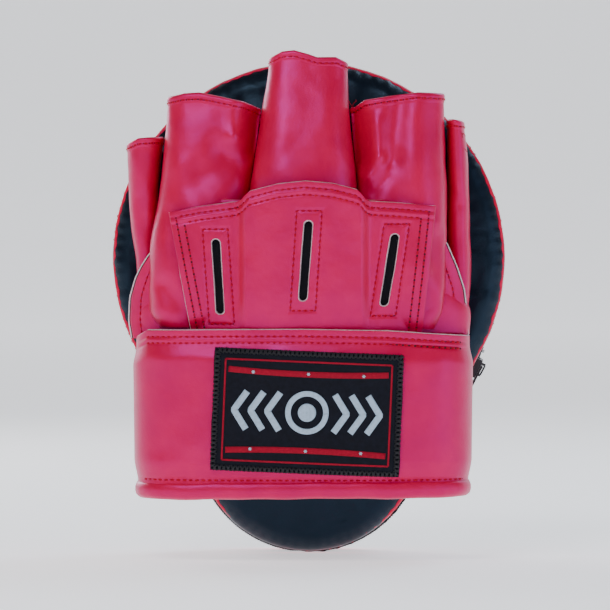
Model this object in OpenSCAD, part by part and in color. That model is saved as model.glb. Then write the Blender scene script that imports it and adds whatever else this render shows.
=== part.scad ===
// Focus mitt: a curved striking pad with a leather glove for the holder's hand. Millimetres.
// +Z points up along the fingers, +Y out of the striking face, the origin is inside the hand pocket.

/* [Pad] */
// Radius of the round head of the pad
head_r = 101.5; // [90:0.5:115]
// Radius of the rounded nose below the wrist
nose_r = 57.5; // [45:0.5:70]
// Height of the head's centre above the origin
head_z = 20; // [10:1:30]
// Distance from the head's centre down to the nose's centre
nose_drop = 96; // [80:1:110]
// Thickness of the pad from back cover to striking face
pad_t = 46; // [35:1:60]
// Radius of the hollow curve of the striking face
face_r = 420; // [300:10:700]
// Diameter of the printed target disc
target_d = 70; // [50:1:90]

/* [Leather] */
// Thickness of the pad's cover leather
cover_t = 1.6; // [1:0.1:2.5]
// Thickness of the glove leather
glove_t = 2.0; // [1.2:0.1:3]
// Width of the welt round the face
welt = 3.2; // [2:0.1:5]

/* [Glove] */
// Half width of the wrist cuff
cuff_hw = 86.5; // [75:0.5:95]
// Height of the cuff from hem to top edge
cuff_h = 84; // [70:1:100]
// Padding thickness of the cuff
cuff_pad = 6; // [3:0.5:10]
// Half width of the glove at the knuckles
hand_hw = 73.5; // [65:0.5:80]
// Depth of the hand pocket in front of the origin
hand_front = 24; // [20:0.5:32]
// Lean of the finger sleeves with the pad's curve, degrees
sleeve_lean = 6; // [0:0.5:10]

/* [Vents] */
// Length of each vent slot
vent_l = 38; // [25:1:45]
// Width of each vent slot
vent_w = 5; // [4.4:0.1:8]

/* [Zip] */
// Length of the zip slider
slider_l = 10; // [7:0.5:14]
// Distance of the parked slider below the top of the straight flank
slider_park = 11; // [9:0.5:16]

/* [Hidden] */
gap = 0.2;
facets = 44;

// Pad frame: the layers are slices of cylinders about one axis in front of the face.
pad_back_y = 22;
pad_axis_y = pad_back_y + pad_t + face_r;
pad_axis_z = -6;
back_r = face_r + pad_t;
zip_r = (face_r + back_r) / 2;
flank = asin((head_r - nose_r) / nose_drop);
nose_z = head_z - nose_drop;

// Cuff frame
cuff_x = -3;
cuff_top = -17;
cuff_front = -34;
cuff_back = 20;
hem_h = 7;

// Hand frame
hand_x = -3.5;
hand_top = 48.5;
hand_mid = 5.5;
hand_back = 19;
low_hw = 84.5;
low_x = -4;
low_front = -21;
low_p = 2.3;

// Zip frame: n points out of the flank, t runs down along it.
flank_n = [cos(flank), 0, -sin(flank)];
flank_t = [-sin(flank), 0, -cos(flank)];
flank_top = [head_r * cos(flank), 0, head_z - head_r * sin(flank)];

// ---- outlines -------------------------------------------------------------------------

// Pad outline at an inset: head arc, straight flanks, nose arc.
function pad_points(i) = concat(
  [for (a = [-flank : 4 : 180 + flank]) [(head_r - i) * cos(a), head_z + (head_r - i) * sin(a)]],
  [for (a = [180 + flank : 5 : 360 - flank]) [(nose_r - i) * cos(a), nose_z + (nose_r - i) * sin(a)]]
);

// Front curve of a glove section, from the thumb side to the little-finger side.
function front_points(hw, yf, ys, p) = [
  for (k = [0 : facets])
    let (a = 180 * k / facets, c = cos(a))
    [-hw * sign(c) * pow(abs(c), 2 / p), ys - (ys - yf) * pow(max(sin(a), 0), 2 / p)]
];

// Depth of that curve at a distance from its middle.
function front_y(x, hw, yf, ys, p) = ys - (ys - yf) * pow(1 - pow(abs(x / hw), p), 1 / p);

function flip(v) = [for (k = [len(v) - 1 : -1 : 0]) v[k]];

// Height of the pad's layer of radius r at height z.
function pad_y(r, z) = pad_axis_y - sqrt(r * r - pow(z - pad_axis_z, 2));

// Stands a drawing in the XZ plane up and gives it depth from y0 to y1.
module stand(y0, y1) {
  translate([0, y1, 0])
    rotate([90, 0, 0])
      linear_extrude(height = y1 - y0)
        children();
}

// ---- pad layers -----------------------------------------------------------------------

module pad_shell(r_front, r_back) {
  difference() {
    translate([-130, pad_axis_y, pad_axis_z])
      rotate([0, 90, 0])
        cylinder(r = r_back, h = 260, $fn = 240);
    translate([-140, pad_axis_y, pad_axis_z])
      rotate([0, 90, 0])
        cylinder(r = r_front, h = 280, $fn = 240);
  }
}

module pad_layer(inset, r_front, r_back) {
  intersection() {
    stand(0, 110)
      polygon(pad_points(inset));
    pad_shell(r_front, r_back);
  }
}

module pad_ring(out_inset, in_inset, r_front, r_back) {
  intersection() {
    stand(0, 110)
      difference() {
        polygon(pad_points(out_inset));
        polygon(pad_points(in_inset));
      }
    pad_shell(r_front, r_back);
  }
}

// Everything below the slanted line where the zip starts and ends.
module zip_zone(shift) {
  stand(-5, 115)
    polygon([[-130, -64 - shift], [130, -20 - shift], [130, -160], [-130, -160]]);
}

module strike_face_cover() {
  color("#2b2b36")
    pad_layer(welt + gap, face_r, face_r + cover_t);
}

module target_disc() {
  color("#adb8e0")
    intersection() {
      translate([0, 110, 8.7])
        rotate([90, 0, 0])
          cylinder(d = target_d, h = 60, $fn = 96);
      pad_shell(face_r - 0.35, face_r - 0.02);
    }
}

module face_piping() {
  color("#f01848")
    pad_ring(0, welt, face_r, face_r + welt);
}

module impact_foam() {
  color("#d8d8d0")
    pad_layer(5, face_r + cover_t + gap, face_r + 16);
}

module core_foam() {
  color("#3c3c3c")
    pad_layer(5, face_r + 16 + gap, face_r + 32);
}

module shock_board() {
  color("#e6e2d6")
    pad_layer(9, face_r + 32 + gap, face_r + 33.6);
}

module backing_foam() {
  color("#55555a")
    pad_layer(5, face_r + 33.6 + gap, back_r - cover_t - gap);
}

module back_cover() {
  color("#10141f")
    pad_layer(welt + gap, back_r - cover_t, back_r);
}

module back_piping() {
  color("#e01040")
    pad_ring(0, welt, back_r - welt, back_r);
}

module gusset_upper() {
  color("#c81038")
    difference() {
      pad_ring(0, cover_t, face_r + welt + gap, back_r - welt - gap);
      zip_zone(0);
    }
}

module gusset_front_strip() {
  color("#c81038")
    intersection() {
      pad_ring(0, cover_t, face_r + welt + gap, zip_r - 10);
      zip_zone(gap);
    }
}

module gusset_back_strip() {
  color("#c81038")
    intersection() {
      pad_ring(0, cover_t, zip_r + 10, back_r - welt - gap);
      zip_zone(gap);
    }
}

// ---- zip ------------------------------------------------------------------------------

module zip_tape_front() {
  color("#0c0d12")
    intersection() {
      pad_ring(-0.6, 0, zip_r - 9.8, zip_r - 0.1);
      zip_zone(gap);
    }
}

module zip_tape_back() {
  color("#0c0d12")
    intersection() {
      pad_ring(-0.6, 0, zip_r + 0.1, zip_r + 9.8);
      zip_zone(gap);
    }
}

module zip_coil() {
  color("#101116")
    intersection() {
      pad_ring(-1.9, -0.65, zip_r - 2, zip_r + 2);
      zip_zone(4.5);
    }
}

// Places things on the little-finger flank: X along n, Y along the pad's depth, Z along -t.
module on_flank(s) {
  p = flank_top + s * flank_t;
  translate([p[0], pad_y(zip_r, p[2]), p[2]])
    rotate([0, flank, 0])
      children();
}

module zip_end_stops() {
  color("#8c8f94") {
    on_flank(2)
      translate([0.7, -3, -0.8])
        cube([1.6, 6, 1.6]);
    mirror([1, 0, 0])
      on_flank(33.6)
        translate([0.7, -3, -0.8])
          cube([1.6, 6, 1.6]);
  }
}

// The slider leans with the chord of its own travel along the curved flank.
slider_travel = 45;
s0 = flank_top + slider_park * flank_t;
s1 = flank_top + (slider_park + slider_travel) * flank_t;
slider_lean = atan((pad_y(zip_r, s1[2]) - pad_y(zip_r, s0[2])) / slider_travel);

module at_slider() {
  on_flank(slider_park)
    rotate([slider_lean, 0, 0])
      children();
}

module zip_slider() {
  color("#25262b")
    at_slider() {
      difference() {
        translate([1.0, -4.6, -slider_l / 2])
          cube([2.9, 9.2, slider_l]);
        translate([0, -3.2, -slider_l])
          cube([2.4, 6.4, 2 * slider_l]);
      }
      for (z = [-3, 3])
        translate([3.9, -0.9, z - 0.6])
          cube([2.4, 1.8, 1.2]);
      translate([5.7, -0.9, -2.6])
        cube([0.9, 1.8, 5.2]);
    }
}

// The pull tab hangs from the slider's bridge and lies down along the zip.
module zip_puller() {
  color("#1b1c20")
    at_slider()
      difference() {
        union() {
          translate([4.2, -3.2, -26])
            cube([1.1, 6.4, 21.6]);
          translate([4.2, -3.2, -5])
            cube([1.1, 1.7, 6.45]);
          translate([4.2, 1.5, -5])
            cube([1.1, 1.7, 6.45]);
          translate([4.75, 3.2, 1.45])
            rotate([90, 0, 0])
              cylinder(r = 0.65, h = 6.4, $fn = 32);
          for (k = [0 : 4])
            translate([4.1, -2.4, -23 + 3 * k])
              cube([1.3, 4.8, 1]);
        }
        translate([0, 0, -9])
          rotate([0, 90, 0])
            cylinder(r = 1.2, h = 8, $fn = 32);
      }
}

// ---- glove ----------------------------------------------------------------------------

// A closed D-shaped tube, front curve to the holder's side, flat to the pad.
module dee_tube(x, hw, yf, ys, t, z0, z1, p) {
  translate([x, 0, z0])
    linear_extrude(height = z1 - z0)
      difference() {
        polygon(front_points(hw, yf, ys, p));
        polygon(front_points(hw - t, yf + t, ys - t, p));
      }
}

// The front sheet only, open to the pad.
module front_sheet(x, hw, yf, ys, t, z0, z1, p) {
  translate([x, 0, z0])
    linear_extrude(height = z1 - z0)
      polygon(concat(front_points(hw, yf, ys, p), flip(front_points(hw - t, yf + t, ys, p))));
}

round_p = 2.8;

module vent_cut(x, z, lean, w, l) {
  translate([x, -10, z])
    rotate([0, lean, 0])
      rotate([90, 0, 0])
        union() {
          translate([-w / 2, -(l - w) / 2, 0])
            cube([w, l - w, 40]);
          for (s = [-1, 1])
            translate([0, s * (l - w) / 2, 0])
              cylinder(d = w, h = 40, $fn = 32);
        }
}

// Three slots behind the knuckles, each leaning with its finger.
module vents(w, l) {
  vent_cut(-46, 11, -3.3, w, l);
  vent_cut(-1.3, 19, 3.6, w, l);
  vent_cut(41, 14, 8, w, l);
}

module hand_back_upper() {
  color("#d81c48")
    difference() {
      dee_tube(hand_x, hand_hw, -hand_front, hand_back, glove_t, hand_mid, hand_top, round_p);
      vents(vent_w, vent_l);
    }
}

module hand_back_lower() {
  color("#d81c48")
    difference() {
      dee_tube(low_x, low_hw, low_front, hand_back, glove_t, cuff_top, hand_mid - gap, low_p);
      vents(vent_w, vent_l);
    }
}

module pocket_lining_upper() {
  color("#101012")
    difference() {
      dee_tube(hand_x, hand_hw - glove_t - gap, -hand_front + glove_t + gap,
        hand_back - glove_t - gap, 0.9, hand_mid, hand_top - 1, round_p);
      vents(vent_w, vent_l);
    }
}

module pocket_lining_lower() {
  color("#101012")
    difference() {
      dee_tube(low_x, low_hw - glove_t - gap, low_front + glove_t + gap,
        hand_back - glove_t - gap, 0.9, cuff_top, hand_mid - gap, low_p);
      vents(vent_w, vent_l);
    }
}

// Soft wedge between the flat palm side of the glove and the pad's bowed back.
module palm_cushion() {
  color("#303036")
    difference() {
      intersection() {
        translate([-66, cuff_back + 0.6, -88])
          cube([126, 12, 134]);
        stand(0, 60)
          polygon(pad_points(9));
      }
      translate([-140, pad_axis_y, pad_axis_z])
        rotate([0, 90, 0])
          cylinder(r = back_r + gap, h = 280, $fn = 240);
    }
}

// Curved flaps of the hand back that run down beside the knuckle panel to the cuff.
module thumb_side_wing() {
  color("#cc1844")
    intersection() {
      front_sheet(low_x, 87.5, -27.4, hand_back, glove_t, cuff_top, 30, round_p);
      stand(-60, 40)
        difference() {
          polygon([[-74, 27], [-66, 27], [-60, 10], [-58, cuff_top], [-100, cuff_top], [-100, 6]]);
          translate([-137, 34])
            circle(r = 64, $fn = 96);
        }
    }
}

module little_side_wing() {
  color("#cc1844")
    intersection() {
      front_sheet(low_x, 87.5, -27.4, hand_back, glove_t, cuff_top, 30, round_p);
      stand(-60, 40)
        difference() {
          polygon([[68, 27], [60, 27], [58, 10], [56, cuff_top], [90, cuff_top], [90, 6]]);
          translate([140, 46])
            circle(r = 72, $fn = 96);
        }
    }
}

module knuckle_sheet(d, t) {
  front_sheet(hand_x, hand_hw + d, -hand_front - d, hand_back, t, cuff_top, 62, round_p);
}

module knuckle_panel_thumb_side() {
  color("#e02050")
    difference() {
      intersection() {
        knuckle_sheet(3.4, 1.8);
        stand(-60, 40)
          polygon([[-71, 44.2], [-37, 48.3], [-35.2, 48.3], [-35.2, -13.5], [-58, -13.5]]);
      }
      vents(vent_w, vent_l);
    }
}

module knuckle_panel_little_side() {
  color("#e02050")
    difference() {
      intersection() {
        knuckle_sheet(3.4, 1.8);
        stand(-60, 40)
          polygon([[65.3, 47.9], [29.4, 48.3], [29.4, -13.5], [55.5, -13.5]]);
      }
      vents(vent_w, vent_l);
    }
}

// The raised middle of the panel has an arched top edge over the long sleeve's root.
module knuckle_panel_center() {
  color("#e02050")
    difference() {
      intersection() {
        knuckle_sheet(5.2, 1.8);
        stand(-60, 40)
          intersection() {
            polygon([[-34.8, -16.8], [-34.8, 51], [-31, 62], [26, 62], [29, 52], [29, -16.8]]);
            translate([-3, -21])
              circle(r = 80, $fn = 120);
          }
      }
      vents(vent_w, vent_l);
    }
}

// Backing patches that face the slots from inside.
module vent_facings() {
  color("#e8b8c4")
    difference() {
      intersection() {
        knuckle_sheet(1.2, 0.8);
        vents(vent_w + 14, vent_l + 9);
      }
      vents(vent_w, vent_l);
    }
}

// ---- sleeves --------------------------------------------------------------------------

ring_n = 32;

// One loop of a sleeve: centre x, half width, front y, back y, height of the edge.
function loop(s, t) = [
  for (k = [0 : ring_n - 1])
    let (
      a = 360 * k / ring_n,
      c = cos(a),
      d = sin(a),
      q = 2 / 2.6,
      x = s[0] + (s[1] - t) * sign(c) * pow(abs(c), q),
      ym = (s[2] + s[3]) / 2,
      y = ym + ((s[3] - s[2]) / 2 - t) * sign(d) * pow(abs(d), q)
    )
    [x, y, s[4] + s[5] * sin(180 * (x - s[0]) / s[1]) * 0.5]
];

// A leather tube through its sections, open at both ends.
module sleeve(sections, t) {
  m = len(sections);
  outer = [for (s = sections) each loop(s, 0)];
  inner = [for (s = sections) each loop(s, t)];
  n = ring_n;
  o = m * n;
  polyhedron(
    points = concat(outer, inner),
    faces = concat(
      [for (j = [0 : m - 2]) for (k = [0 : n - 1]) let (l = (k + 1) % n)
        each [[j * n + k, (j + 1) * n + k, (j + 1) * n + l], [j * n + k, (j + 1) * n + l, j * n + l]]],
      [for (j = [0 : m - 2]) for (k = [0 : n - 1]) let (l = (k + 1) % n)
        each [[o + j * n + k, o + (j + 1) * n + l, o + (j + 1) * n + k],
          [o + j * n + k, o + j * n + l, o + (j + 1) * n + l]]],
      [for (k = [0 : n - 1]) let (l = (k + 1) % n) each [[k, l, o + l], [k, o + l, o + k]]],
      [for (k = [0 : n - 1]) let (l = (k + 1) % n, b = (m - 1) * n)
        each [[b + k, o + b + l, b + l], [b + k, o + b + k, o + b + l]]]
    )
  );
}

lean = tan(sleeve_lean);

// Sections are [centre x, half width, front y, back y, height, edge wave].
module index_sleeve() {
  color("#ee3060")
    sleeve([
      [-54.4, 21.6, -18, 17, 49.7, 0],
      [-52.5, 21.8, -17 + 18 * lean, 17 + 18 * lean, 68, 0],
      [-49.5, 23, -11 + 48 * lean, 13 + 48 * lean, 101, 3]
    ], glove_t);
}

module middle_sleeve() {
  color("#ee3060")
    sleeve([
      [-3, 27.4, -24.4, 15, 49.7, 0],
      [-2.6, 26, -24.4, 16, 60, 0],
      [-1, 22, -19 + 32 * lean, 14 + 32 * lean, 92, 0],
      [0, 19, -13 + 64 * lean, 10 + 64 * lean, 124, -3]
    ], glove_t);
}

module ring_sleeve() {
  color("#ee3060")
    sleeve([
      [48.4, 20.6, -18, 17, 49.7, 0],
      [47.6, 21.6, -17 + 18 * lean, 17 + 18 * lean, 68, 0],
      [46.4, 22.6, -11 + 50 * lean, 13 + 50 * lean, 102, 3]
    ], glove_t);
}

module thumb_sleeve() {
  color("#e82858")
    sleeve([
      [-85.6, 6.7, 0, 21, 6, 0],
      [-85.4, 7.2, 0, 22.8, 34, 0],
      [-84.4, 9.2, 1, 27, 80, 1]
    ], 1.7);
}

module little_sleeve() {
  color("#e82858")
    sleeve([
      [77.8, 6.3, 3.5, 21, 6, 0],
      [77.4, 6.1, 2.9, 22.8, 34, 0],
      [75.6, 5, 2.2, 27, 89, -1]
    ], 1.7);
}

// ---- cuff -----------------------------------------------------------------------------

cuff_z0 = cuff_top - cuff_h;

module cuff_cover() {
  color("#c01440")
    dee_tube(cuff_x, cuff_hw, cuff_front, cuff_back, glove_t, cuff_z0 + hem_h, cuff_top - gap, 3.2);
}

module cuff_foam() {
  color("#d8d8d0")
    dee_tube(cuff_x, cuff_hw - glove_t - gap, cuff_front + glove_t + gap, cuff_back - glove_t - gap,
      cuff_pad, cuff_z0 + hem_h + 1, cuff_top - 11, 3.2);
}

module cuff_lining() {
  color("#101012")
    dee_tube(cuff_x, cuff_hw - glove_t - cuff_pad - 2 * gap, cuff_front + glove_t + cuff_pad + 2 * gap,
      cuff_back - glove_t - cuff_pad - 2 * gap, 1, cuff_z0 + 1, cuff_top - gap, 3.2);
}

// The rolled hem closes the cuff's padding at the wrist opening.
module cuff_hem() {
  color("#d01848")
    dee_tube(cuff_x, cuff_hw + 0.8, cuff_front - 0.8, cuff_back + 0.8,
      glove_t + cuff_pad + 0.5, cuff_z0, cuff_z0 + hem_h - gap, 3.2);
}

// A row of stitches on a front sheet, from one point to another, as flat bars of thread.
module stitch_row(x0, z0, x1, z1, cx, hw, yf, ys, p, pitch, size) {
  span = sqrt(pow(x1 - x0, 2) + pow(z1 - z0, 2));
  count = floor(span / pitch);
  turn = atan2(z1 - z0, x1 - x0);
  for (k = [0 : count - 1]) {
    f = (k + 0.5) / count;
    x = x0 + f * (x1 - x0);
    z = z0 + f * (z1 - z0);
    slope = (front_y(x + 0.5 - cx, hw, yf, ys, p) - front_y(x - 0.5 - cx, hw, yf, ys, p));
    translate([x, front_y(x - cx, hw, yf, ys, p) - 0.06, z])
      rotate([0, 0, atan(slope)])
        rotate([0, -turn, 0])
          translate([-size / 2, -0.5, -0.35])
            cube([size, 0.5, 0.7]);
  }
}

module cuff_row(x0, z0, x1, z1, pitch) {
  stitch_row(x0, z0, x1, z1, cuff_x, cuff_hw, cuff_front, cuff_back, 3.2, pitch, 2.4);
}

module cuff_thread() {
  color("#b00c34") {
    cuff_row(-70, cuff_top - 3.2, 64, cuff_top - 3.2, 3.6);
    cuff_row(-70, cuff_top - 6.8, 64, cuff_top - 6.8, 3.6);
    cuff_row(-70, cuff_z0 + hem_h + 1.2, 64, cuff_z0 + hem_h + 1.2, 3.6);
  }
}

module knuckle_row(x0, z0, x1, z1, d, pitch) {
  stitch_row(x0, z0, x1, z1, hand_x, hand_hw + d, -hand_front - d, hand_back, round_p, pitch, 2);
}

module knuckle_thread() {
  color("#b00c34") {
    for (r = [0, 3.6]) {
      knuckle_row(-66, 41.6 - r, -38, 45.2 - r, 3.4, 3.2);
      knuckle_row(33, 45.4 - r, 61, 44.8 - r, 3.4, 3.2);
      knuckle_row(-65 + r, 36, -55 + r, -12, 3.4, 3.2);
      knuckle_row(59.5 - r, 38, 53 - r, -12, 3.4, 3.2);
      knuckle_row(-29, 50 - r, -3, 55.4 - r, 5.2, 3.2);
      knuckle_row(-3, 55.4 - r, 23, 50 - r, 5.2, 3.2);
    }
    for (s = [-1, 1]) {
      knuckle_row(-1.3 + 6.5 * s, -2, -1.3 + 6.5 * s, 41, 5.2, 3.2);
      knuckle_row(-46.5 + 6.5 * s, -10, -46.5 + 6.5 * s, 33, 3.4, 3.2);
      knuckle_row(41.5 + 6.5 * s, -7, 41.5 + 6.5 * s, 35, 3.4, 3.2);
    }
  }
}

// ---- label ----------------------------------------------------------------------------

label_w = 95.5;
label_h = 62;

module label_place() {
  translate([-1, -58])
    rotate(-2.4)
      children();
}

module label_sheet(d, t) {
  front_sheet(cuff_x, cuff_hw + d, cuff_front - d, cuff_back, t, -100, -15, 3.2);
}

module label_patch() {
  color("#14161f")
    intersection() {
      label_sheet(1.1, 0.9);
      stand(-60, 40)
        label_place()
          square([label_w, label_h], center = true);
    }
}

module label_frame() {
  color("#d01840")
    intersection() {
      label_sheet(1.5, 0.3);
      stand(-60, 40)
        label_place()
          difference() {
            square([label_w - 10, label_h - 10], center = true);
            square([label_w - 11.6, label_h - 11.6], center = true);
          }
    }
}

// A generic woven target motif between two bars.
module label_motif() {
  color("#c8ccd4")
    intersection() {
      label_sheet(1.5, 0.3);
      stand(-60, 40)
        label_place() {
          for (s = [-1, 1])
            translate([0, s * 19])
              square([label_w - 22, 2.4], center = true);
          difference() {
            circle(r = 11, $fn = 64);
            circle(r = 8, $fn = 64);
          }
          circle(r = 4, $fn = 48);
          for (s = [-1, 1], k = [0 : 2])
            translate([s * (18 + 8 * k), 0])
              rotate(45)
                square(5.2 - 0.8 * k, center = true);
        }
    }
}

module label_row(x0, z0, x1, z1) {
  stitch_row(x0, z0, x1, z1, cuff_x, cuff_hw + 1.1, cuff_front - 1.1, cuff_back, 3.2, 3.2, 2.2);
}

module label_thread() {
  color("#0a0b10") {
    label_row(-46.5, -26.5, 43.5, -30.3);
    label_row(-46.8, -84.8, 43.2, -88.6);
    label_row(-46.5, -29, -46.6, -83);
    label_row(44.6, -32, 44.6, -86);
  }
}

strike_face_cover();
target_disc();
face_piping();
impact_foam();
core_foam();
shock_board();
backing_foam();
back_cover();
back_piping();
gusset_upper();
gusset_front_strip();
gusset_back_strip();
zip_tape_front();
zip_tape_back();
zip_coil();
zip_end_stops();
zip_slider();
zip_puller();
palm_cushion();
hand_back_lower();
hand_back_upper();
pocket_lining_lower();
pocket_lining_upper();
thumb_side_wing();
little_side_wing();
knuckle_panel_thumb_side();
knuckle_panel_little_side();
knuckle_panel_center();
vent_facings();
knuckle_thread();
thumb_sleeve();
index_sleeve();
middle_sleeve();
ring_sleeve();
little_sleeve();
cuff_cover();
cuff_foam();
cuff_lining();
cuff_hem();
cuff_thread();
label_patch();
label_frame();
label_motif();
label_thread();
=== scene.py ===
"""One focus mitt: a curved teardrop pad, a five-sleeved glove on its back, a padded cuff and a label.

Lengths are in millimetres until link() makes a mesh in metres. x runs to the right as the
holder's side is seen, y away from the camera and z up. The striking face looks along +y.
"""

from math import asin, cos, pi, radians, sin

import bmesh
import bpy
import numpy as np
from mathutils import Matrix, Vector, noise


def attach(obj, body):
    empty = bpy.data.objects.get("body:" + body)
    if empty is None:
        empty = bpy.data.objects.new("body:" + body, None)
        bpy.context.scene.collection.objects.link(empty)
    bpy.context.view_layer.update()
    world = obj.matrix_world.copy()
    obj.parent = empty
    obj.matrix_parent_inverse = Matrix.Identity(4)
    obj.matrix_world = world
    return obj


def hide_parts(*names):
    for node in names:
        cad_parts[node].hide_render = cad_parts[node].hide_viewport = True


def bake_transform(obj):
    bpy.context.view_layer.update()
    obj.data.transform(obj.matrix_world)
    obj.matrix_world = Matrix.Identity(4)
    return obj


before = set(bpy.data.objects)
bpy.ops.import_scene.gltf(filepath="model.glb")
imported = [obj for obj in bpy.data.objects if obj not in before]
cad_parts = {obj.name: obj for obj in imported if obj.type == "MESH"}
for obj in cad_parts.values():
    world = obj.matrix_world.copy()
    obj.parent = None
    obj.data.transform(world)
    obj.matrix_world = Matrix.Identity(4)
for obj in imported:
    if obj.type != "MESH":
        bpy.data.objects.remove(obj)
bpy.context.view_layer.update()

# ---------------------------------------------------------------- numbers (millimetres)
HEAD_R, NOSE_R, HEAD_Z, DROP = 101.5, 57.5, 20.0, 96.0
FACE_R, PAD_T, BACK_Y, AXIS_Z = 420.0, 46.0, 22.0, -6.0
AXIS_Y = BACK_Y + PAD_T + FACE_R
BACK_R = FACE_R + PAD_T
FLANK = asin((HEAD_R - NOSE_R) / DROP)
NOSE_Z = HEAD_Z - DROP
COVER_T = 1.4  # leather over the pad
FLOOR_Z = -134.6
PUCKERS = 118  # small folds round the pad's rolled edges
TAU = 2 * pi


# ---------------------------------------------------------------- small maths
def sm(x, a, b):
    """A smooth step from 0 at a to 1 at b."""
    t = np.clip((np.asarray(x, float) - a) / (b - a), 0, 1)
    return t * t * (3 - 2 * t)


def unit(v):
    return v / np.maximum(np.linalg.norm(v, axis=-1, keepdims=True), 1e-9)


def circle(n):
    """Even angles round one turn."""
    return np.arange(n) * TAU / n


def grid(a, b):
    """Two arrays of values whose first index follows a and whose second follows b."""
    return np.meshgrid(a, b, indexing="ij")


def flat(x, z):
    """Points at (x, z) with no depth, for noise that follows the front view."""
    return np.stack([x, np.zeros_like(x), z], -1)


def arc(path):
    """Distance from the start to each point of a line."""
    step = np.diff(path, axis=0)
    length = np.hypot(*step.T) if step.shape[1] == 2 else np.linalg.norm(step, axis=1)
    return np.concatenate([[0], np.cumsum(length)])


def along(q, s, line):
    """Points of a line at the distances q, where s is the distance of each of its own points."""
    return np.stack([np.interp(q, s, line[:, k]) for k in range(line.shape[1])], -1)


def bell(x, c, w):
    """A bump of height 1 at c, about w wide to each side."""
    return np.exp(-(((np.asarray(x, float) - c) / w) ** 2))


def smin(a, b, r):
    """The smaller of a and b, with a soft corner of size r."""
    h = np.clip(0.5 + 0.5 * (b - a) / r, 0, 1)
    return b * (1 - h) + a * h - r * h * (1 - h)


def fnoise(p, scale, seed=0.0, octaves=3):
    """Fractal noise of points in millimetres, from -1 to 1."""
    points = np.asarray(p, float).reshape(-1, 3) / scale + seed
    out = [noise.fractal(Vector(q), 1.0, 2.0, octaves) for q in points]
    return np.array(out).reshape(np.asarray(p).shape[:-1])


def power(c, e):
    """A power that keeps the sign, for rounded boxes."""
    return np.sign(c) * np.abs(c) ** e


def front(x, hw, yf, ys, p, cx):
    """The front half of a rounded section: depth at x, for a half width, front and side depth."""
    u = np.clip(np.abs((np.asarray(x, float) - cx) / hw), 0, 1)
    return ys - (ys - yf) * (1 - u**p) ** (1 / p)


# ---------------------------------------------------------------- meshes
def link(name, verts, faces, mats, face_mats=None, closed=False):
    me = bpy.data.meshes.new(name)
    me.from_pydata((np.asarray(verts, float) * 0.001).tolist(), [], [list(map(int, f)) for f in faces])
    for m in mats:
        me.materials.append(m)
    if face_mats is not None:
        me.polygons.foreach_set("material_index", np.asarray(face_mats, np.int32))
    me.polygons.foreach_set("use_smooth", np.ones(len(me.polygons), bool))
    me.validate()
    me.update()
    if closed:
        bm = bmesh.new()
        bm.from_mesh(me)
        bmesh.ops.recalc_face_normals(bm, faces=bm.faces)
        bm.to_mesh(me)
        bm.free()
    ob = bpy.data.objects.new(name, me)
    bpy.context.scene.collection.objects.link(ob)
    return ob


def grid_normals(P, close_u=False):
    du = np.roll(P, -1, 0) - np.roll(P, 1, 0) if close_u else np.gradient(P, axis=0)
    return unit(np.cross(du, np.gradient(P, axis=1)))


def quads(nu, nv, close_u, close_v, base=0, flip=False):
    iu = np.arange(nu if close_u else nu - 1)
    iv = np.arange(nv if close_v else nv - 1)
    a, b = [g.ravel() for g in grid(iu, iv)]
    a2, b2 = (a + 1) % nu, (b + 1) % nv
    f = np.stack([a * nv + b, a2 * nv + b, a2 * nv + b2, a * nv + b2], 1) + base
    return f[:, ::-1] if flip else f


def sheet(name, P, t, mats, close_u=False, keep=None, inner=1, rim=2, lip=0.0):
    """A leather sheet from a grid of points: outside, inside at thickness t, and the cut edges between them.
    t > 0 puts the inside behind the outside's normal."""
    P = np.asarray(P, float)
    nu, nv = P.shape[:2]
    N = grid_normals(P, close_u)
    Q = P - N * t
    if lip:  # the backing stands out a little past the cut edge of the leather

        def out(a, b):
            return lip * unit(a - b)

        Q[:, 0] += out(P[:, 0], P[:, 1])
        Q[:, -1] += out(P[:, -1], P[:, -2])
        if not close_u:
            Q[0] += out(P[0], P[1])
            Q[-1] += out(P[-1], P[-2])
    n = nu * nv
    verts = np.concatenate([P.reshape(-1, 3), Q.reshape(-1, 3)])
    fo, fi = quads(nu, nv, close_u, False), quads(nu, nv, close_u, False, n, True)
    mo, mi = np.zeros(len(fo), int), np.full(len(fi), inner)
    if keep is not None:
        k = keep[: nu if close_u else nu - 1, : nv - 1].ravel()
        fo, fi, mo, mi = fo[k], fi[k], mo[k], mi[k]
    rims = []

    def strip(idx, closed):
        idx = np.asarray(idx)
        nxt = np.roll(idx, -1)
        m = len(idx) if closed else len(idx) - 1
        for i in range(m):
            rims.append([idx[i], idx[i] + n, nxt[i] + n, nxt[i]])

    if keep is None:
        strip([u * nv for u in range(nu)], close_u)
        strip([u * nv + nv - 1 for u in range(nu)][::-1], close_u)
        if not close_u:
            strip(list(range(nv))[::-1], False)
            strip([(nu - 1) * nv + v for v in range(nv)], False)
    elif close_u:
        strip([u * nv + nv - 1 for u in range(nu)][::-1], True)
    faces = list(map(list, fo)) + list(map(list, fi)) + rims
    fm = np.concatenate([mo, mi, np.full(len(rims), rim)]) if rims else np.concatenate([mo, mi])
    return link(name, verts, faces, mats, fm, closed=keep is None)


def skin(name, P, mats, close_u=False, close_v=False, flip=False, cap=False):
    P = np.asarray(P, float)
    nu, nv = P.shape[:2]
    f = quads(nu, nv, close_u, close_v, 0, flip)
    faces = list(map(list, f))
    if cap and close_u:
        faces.append([u * nv for u in range(nu)][::-1])
        faces.append([u * nv + nv - 1 for u in range(nu)])
    elif cap:
        faces.append(list(range(nv)))
        faces.append([(nu - 1) * nv + v for v in range(nv)][::-1])
    return link(name, P.reshape(-1, 3), faces, mats, closed=cap or (close_u and close_v))


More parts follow.
